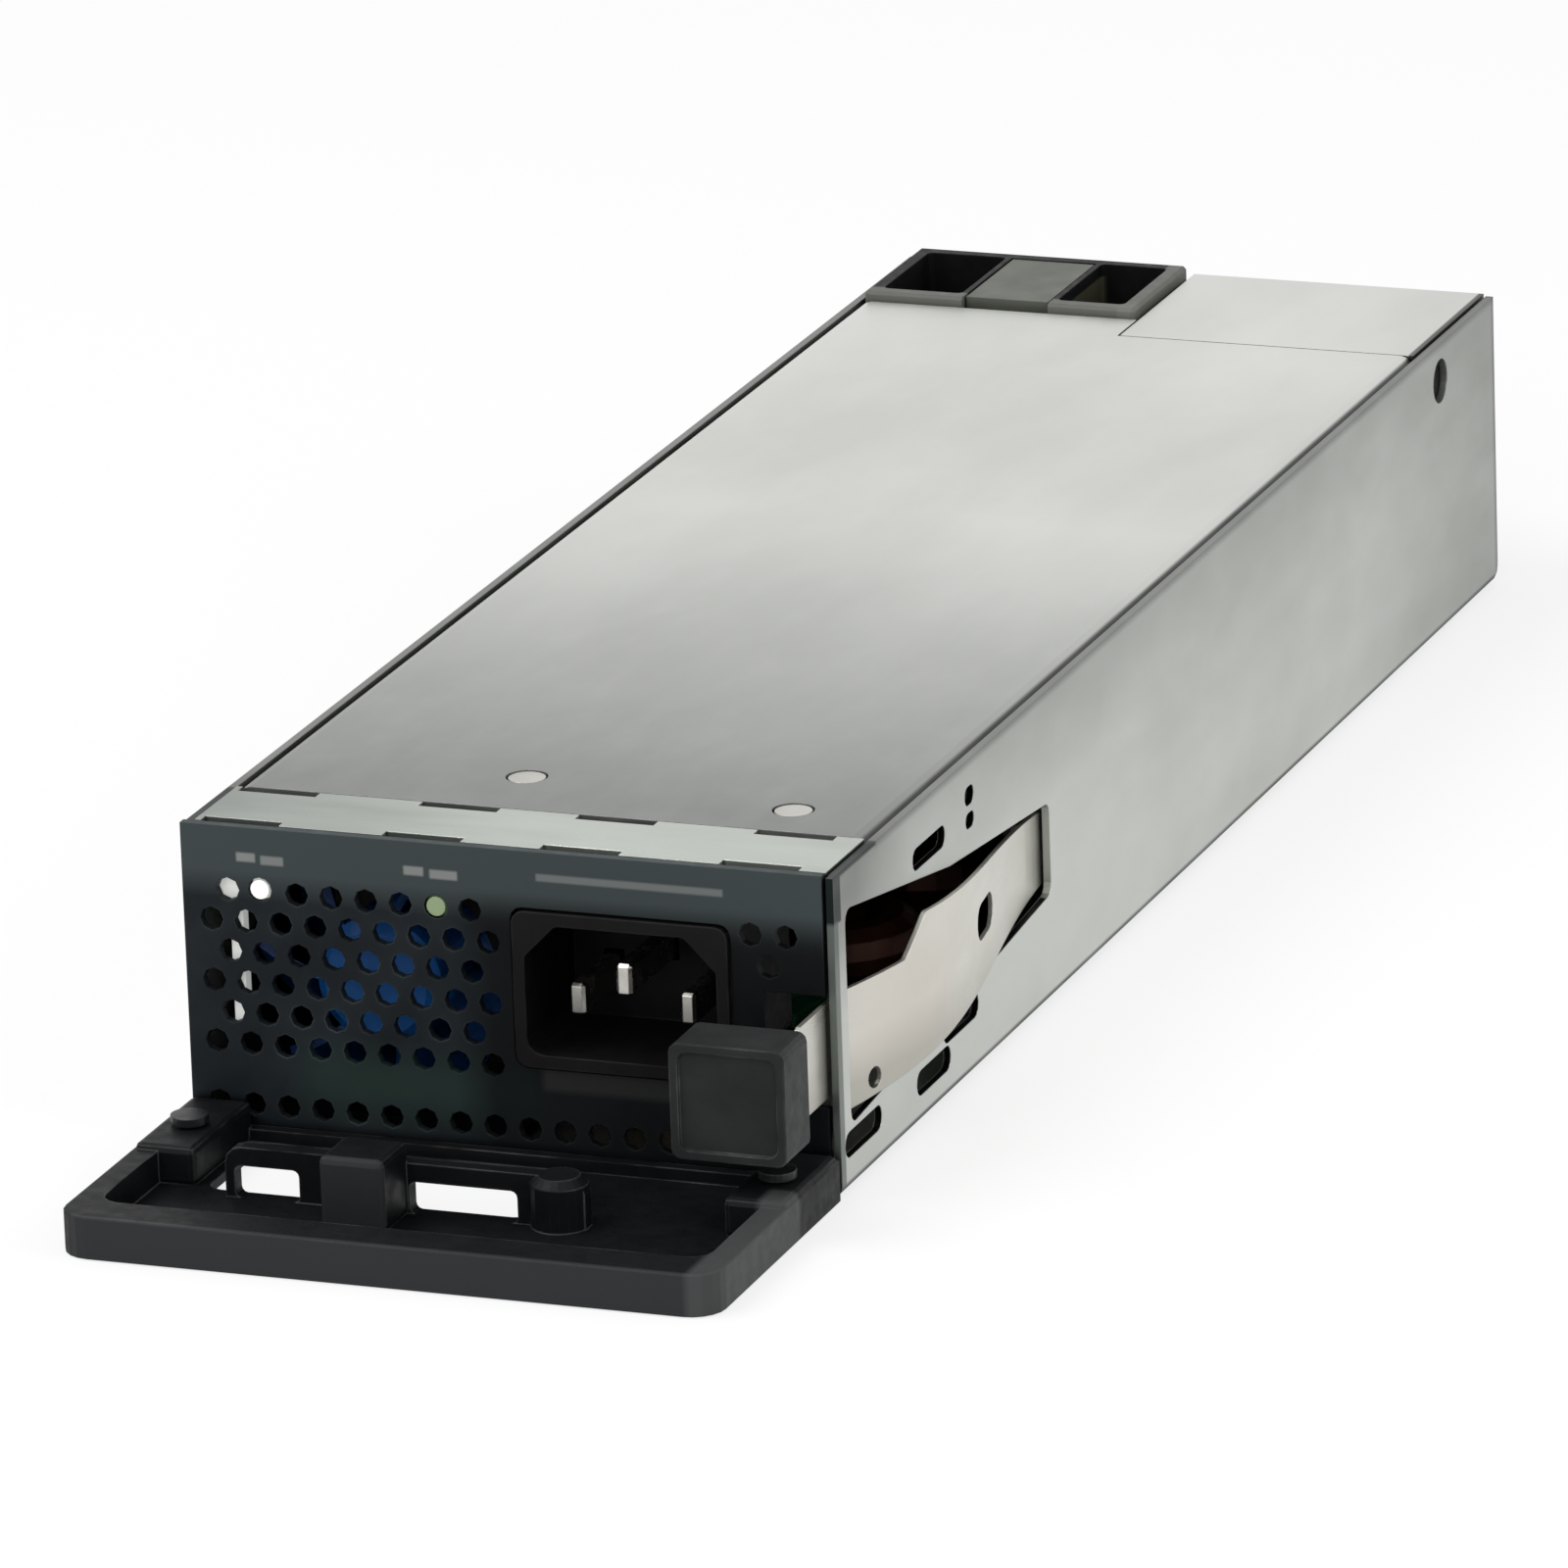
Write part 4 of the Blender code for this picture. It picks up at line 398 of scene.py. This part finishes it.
def make_connector_plastic():
    """Black, with greyed rims in front and on the right, and a drab tone inside the right well."""
    material = make_black_plastic("connector_plastic", (9, 9, 10), (14, 14, 15), share=0.3)
    low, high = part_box("connector_housing")
    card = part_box("output_card")[1]
    rim = 2.2 * MM
    top = (high.z - 1.6 * MM, high.z)
    patch(material, (104, 105, 100), 0.8, y=(low.y, low.y + rim), z=top)
    patch(material, (104, 105, 100), 0.8, x=(high.x - rim, high.x), z=top)
    patch(
        material, (60, 60, 48), 0.9,
        x=(card.x, high.x - rim), y=(low.y + 0.8 * MM, card.y), z=(high.z - 9 * MM, high.z - 1.8 * MM),
    )
    return material


def make_fan_plastic():
    """Blue on the hub, brightened as painted light, and the same plastic much darker on the blades as
    painted shade.
    """
    # Painted light: the hub's blue is brightened
    material = surface(
        "fan_plastic", (24, 92, 168), (40, 124, 214), (0.35, 0.5), 0.0, 2400.0, 0.008 * MM
    )
    tree = material.node_tree
    low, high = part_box("fan_rotor")
    centre = (low + high) / 2
    middle = {0: place_socket(tree), 1: (centre.x, 0, centre.z)}
    offset = add_node(tree, "ShaderNodeVectorMath", middle, operation="SUBTRACT")
    parts = add_node(tree, "ShaderNodeSeparateXYZ", {0: offset.outputs[0]})
    across = add_node(tree, "ShaderNodeCombineXYZ", {0: parts.outputs[0], 2: parts.outputs[2]})
    radius = add_node(tree, "ShaderNodeVectorMath", {0: across.outputs[0]}, operation="LENGTH")
    # Painted shade: the blades get a much darker blue
    overlay(material, ramp(tree, radius.outputs["Value"], *HUB_RADII), (22, 66, 124))
    return material


def make_lens(name, colour, glow):
    """Cloudy plastic with a little painted glow in its own colour."""
    material = surface(name, colour, colour, (0.15, 0.25), 0.0, 900.0, 0.004 * MM)
    shader = material.node_tree.nodes["Principled BSDF"]
    shader.inputs["Emission Color"].default_value = (*linear(colour), 1)
    shader.inputs["Emission Strength"].default_value = glow
    return material


def make_board():
    """Green solder mask over copper tracks that run mostly along the board."""
    material = surface(
        "circuit_board", (16, 56, 34), (24, 72, 46), (0.3, 0.42), 0.0, 1800.0, 0.006 * MM
    )
    tree = material.node_tree
    cells = add_node(
        tree,
        "ShaderNodeTexVoronoi",
        {"Vector": place_socket(tree, (1.0, 0.25, 1.0)), "Scale": 260.0},
        feature="DISTANCE_TO_EDGE",
        distance="CHEBYCHEV",
    )
    overlay(material, ramp(tree, cells.outputs["Distance"], 0.05, 0.02), (44, 100, 64))
    return material


def dress_the_case():
    dress(make_case_metal(), "chassis")
    dress(make_cover_metal(), "top_cover", "rear_panel")
    dress(make_strip_steel(), "contact_strip")
    dress(make_leaf_steel(), "latch_spring")
    dress(make_panel_paint(), "front_panel")
    inlet = make_black_plastic("inlet_plastic", (11, 11, 12), (15, 15, 16), share=0.25)
    dress(inlet, "inlet_housing", "fan_frame")
    dress(make_tray_plastic(), "handle_tray")
    dress(make_connector_plastic(), "connector_housing")
    button = make_black_plastic(
        "button_plastic", (34, 36, 36), (42, 44, 44), worn=(110, 114, 114), share=0.8
    )
    dress(button, "latch_button")
    dress(make_fan_plastic(), "fan_rotor")
    # Both lights carry painted glow: the clear one for the white glints along its guide, the green one
    # dimmer
    dress(make_lens("clear_light", (226, 228, 224), 0.35), "status_light_1")
    dress(make_lens("green_light", (128, 146, 110), 0.1), "status_light_2")
    card = surface("card_laminate", (62, 66, 56), (78, 80, 70), (0.4, 0.5), 0.0, 1500.0, 0.004 * MM)
    dress(card, "output_card")


def dress_the_small_metal():
    nickel = surface(
        "nickel_plate", (176, 174, 168), (206, 203, 196), (0.18, 0.32), 1.0, 1600.0, 0.002 * MM
    )
    dress(nickel, "line_pin", "neutral_pin", "earth_pin", "latch_stud_lower", "latch_stud_upper")
    dress(nickel, *numbered("output_contact", 4), *numbered("cover_screw", 2))
    dress(nickel, *numbered("board_screw", 4), *numbered("standoff", 4))
    black_steel = surface(
        "black_steel", (30, 31, 33), (44, 45, 47), (0.3, 0.45), 0.6, 1800.0, 0.004 * MM,
        wear=((120, 120, 118), 0.7),
    )
    dress(black_steel, "handle_screw_left", "handle_screw_right")


def dress_the_board():
    dress(make_board(), "main_board")
    aluminium = surface(
        "extruded_aluminium", (150, 152, 154), (180, 182, 184), (0.32, 0.46), 1.0, 1200.0, 0.004 * MM,
        stretch=(1.0, 0.1, 1.0),
    )
    dress(aluminium, "input_heatsink", "output_heatsink", *numbered("output_capacitor", 3))
    winding = surface("copper_winding", (58, 32, 22), (84, 46, 30), (0.3, 0.45), 0.6, 900.0, 0.004 * MM)
    dress(winding, "common_mode_choke", "boost_inductor")
    sleeve = make_black_plastic("shrink_sleeve", (30, 30, 34), (42, 42, 48), (0.28, 0.4))
    dress(sleeve, *numbered("bulk_capacitor", 2))
    ferrite = surface("ferrite", (44, 43, 42), (58, 56, 54), (0.55, 0.7), 0.0, 2000.0, 0.02 * MM)
    dress(ferrite, "transformer_core")
    film = surface("yellow_film", (196, 150, 40), (214, 172, 60), (0.35, 0.5), 0.0, 700.0, 0.01 * MM)
    dress(film, "transformer_coil", "filter_capacitor")


# A piece that the frame doesn't have, a dark film that puts shade behind a hole


def make_hole_shade_film():
    """Thin dark film on the inside of the right wall's rear, seen through the wall's hole: a dark sheet that
    puts shade there.
    """
    near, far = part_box("rear_panel")
    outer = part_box("chassis")[1].x - WALL_THICKNESS - FILM_CLEARANCE
    low = Vector((far.x + FILM_CLEARANCE, near.y + 2 * MM, near.z + 3 * MM))
    high = Vector((outer, far.y - 1.5 * MM, far.z - 2.5 * MM))
    shape = bmesh.new()
    bmesh.ops.create_cube(shape, size=1.0)
    for vert in shape.verts:
        vert.co = Vector(a + (b - a) * (c + 0.5) for a, b, c in zip(low, high, vert.co))
    corners = [edge for edge in shape.edges if edge.verts[0].co.x != edge.verts[1].co.x]
    bmesh.ops.bevel(shape, geom=corners, offset=FILM_CORNER, segments=4, affect="EDGES")
    mesh = bpy.data.meshes.new("hole_shade_film")
    shape.to_mesh(mesh)
    shape.free()
    mesh.materials.append(make_black_plastic("hole_shade_film_plastic", (10, 10, 11), (15, 15, 16), share=0.2))
    film = bpy.data.objects.new("hole_shade_film", mesh)
    bpy.context.scene.collection.objects.link(film)
    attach(film, "case")


# Room, light and camera


def seen_mask(tree):
    """One for what the camera sees straight, in gloss or through glass."""
    rays = add_node(tree, "ShaderNodeLightPath").outputs
    seen = arithmetic(tree, "MAXIMUM", rays["Is Camera Ray"], rays["Is Glossy Ray"])
    return arithmetic(tree, "MAXIMUM", seen, rays["Is Transmission Ray"])


def make_floor():
    """A white floor that stays white to the camera and still takes the object's shadow."""
    mesh = bpy.data.meshes.new("floor")
    plane = bmesh.new()
    bmesh.ops.create_grid(plane, x_segments=1, y_segments=1, size=FLOOR_SIZE / 2)
    plane.to_mesh(mesh)
    plane.free()
    floor = bpy.data.objects.new("floor", mesh)
    floor.location.z = -FLOOR_DROP
    bpy.context.scene.collection.objects.link(floor)
    material = bpy.data.materials.new("white_floor")
    material.use_nodes = True
    tree = material.node_tree
    shader = tree.nodes["Principled BSDF"]
    shader.inputs["Base Color"].default_value = (FLOOR_ALBEDO, FLOOR_ALBEDO, FLOOR_ALBEDO, 1)
    shader.inputs["Roughness"].default_value = 0.9
    shader.inputs["Specular IOR Level"].default_value = 0.0
    glow = add_node(tree, "ShaderNodeEmission", {"Color": (1, 1, 1, 1), "Strength": 1.0})
    share = arithmetic(tree, "MULTIPLY", seen_mask(tree), 1 - FLOOR_SHADOW_SHARE)
    mix = add_node(tree, "ShaderNodeMixShader", {0: share, 1: shader.outputs[0], 2: glow.outputs[0]})
    tree.links.new(mix.outputs[0], tree.nodes["Material Output"].inputs["Surface"])
    mesh.materials.append(material)


def make_world():
    """Soft even light, seen as white."""
    world = bpy.data.worlds.new("studio")
    bpy.context.scene.world = world
    world.use_nodes = True
    tree = world.node_tree
    lit = tree.nodes["Background"]
    lit.inputs["Color"].default_value = (1, 1, 1, 1)
    lit.inputs["Strength"].default_value = WORLD_LEVEL
    white = add_node(tree, "ShaderNodeBackground", {"Color": (1, 1, 1, 1), "Strength": 1.0})
    shaders = {0: seen_mask(tree), 1: lit.outputs[0], 2: white.outputs[0]}
    mix = add_node(tree, "ShaderNodeMixShader", shaders)
    tree.links.new(mix.outputs[0], tree.nodes["World Output"].inputs["Surface"])


def make_lamp(name, place, target, size, watts):
    data = bpy.data.lights.new(name, "AREA")
    data.shape = "DISK"
    data.size = size
    data.energy = watts
    lamp = bpy.data.objects.new(name, data)
    lamp.location = place
    towards = Vector(target) - Vector(place)
    lamp.rotation_euler = towards.to_track_quat("-Z", "Y").to_euler()
    bpy.context.scene.collection.objects.link(lamp)


def make_camera():
    data = bpy.data.cameras.new("camera")
    data.lens = CAMERA_LENS
    data.sensor_width = SENSOR_WIDTH
    data.clip_start, data.clip_end = CAMERA_CLIP
    camera = bpy.data.objects.new("camera", data)
    back = Vector(CAMERA_BACK).normalized()
    right = Vector(CAMERA_RIGHT).normalized()
    up = back.cross(right).normalized()
    turn = Matrix((right, up, back)).transposed().to_4x4()
    camera.matrix_world = Matrix.Translation(CAMERA_PLACE) @ turn
    bpy.context.scene.collection.objects.link(camera)
    bpy.context.scene.camera = camera


bpy.context.scene.view_settings.view_transform = "Standard"
make_camera()
make_floor()
make_world()
for lamp_settings in LAMPS:
    make_lamp(*lamp_settings)
dress_the_case()
dress_the_small_metal()
dress_the_board()
make_hole_shade_film()
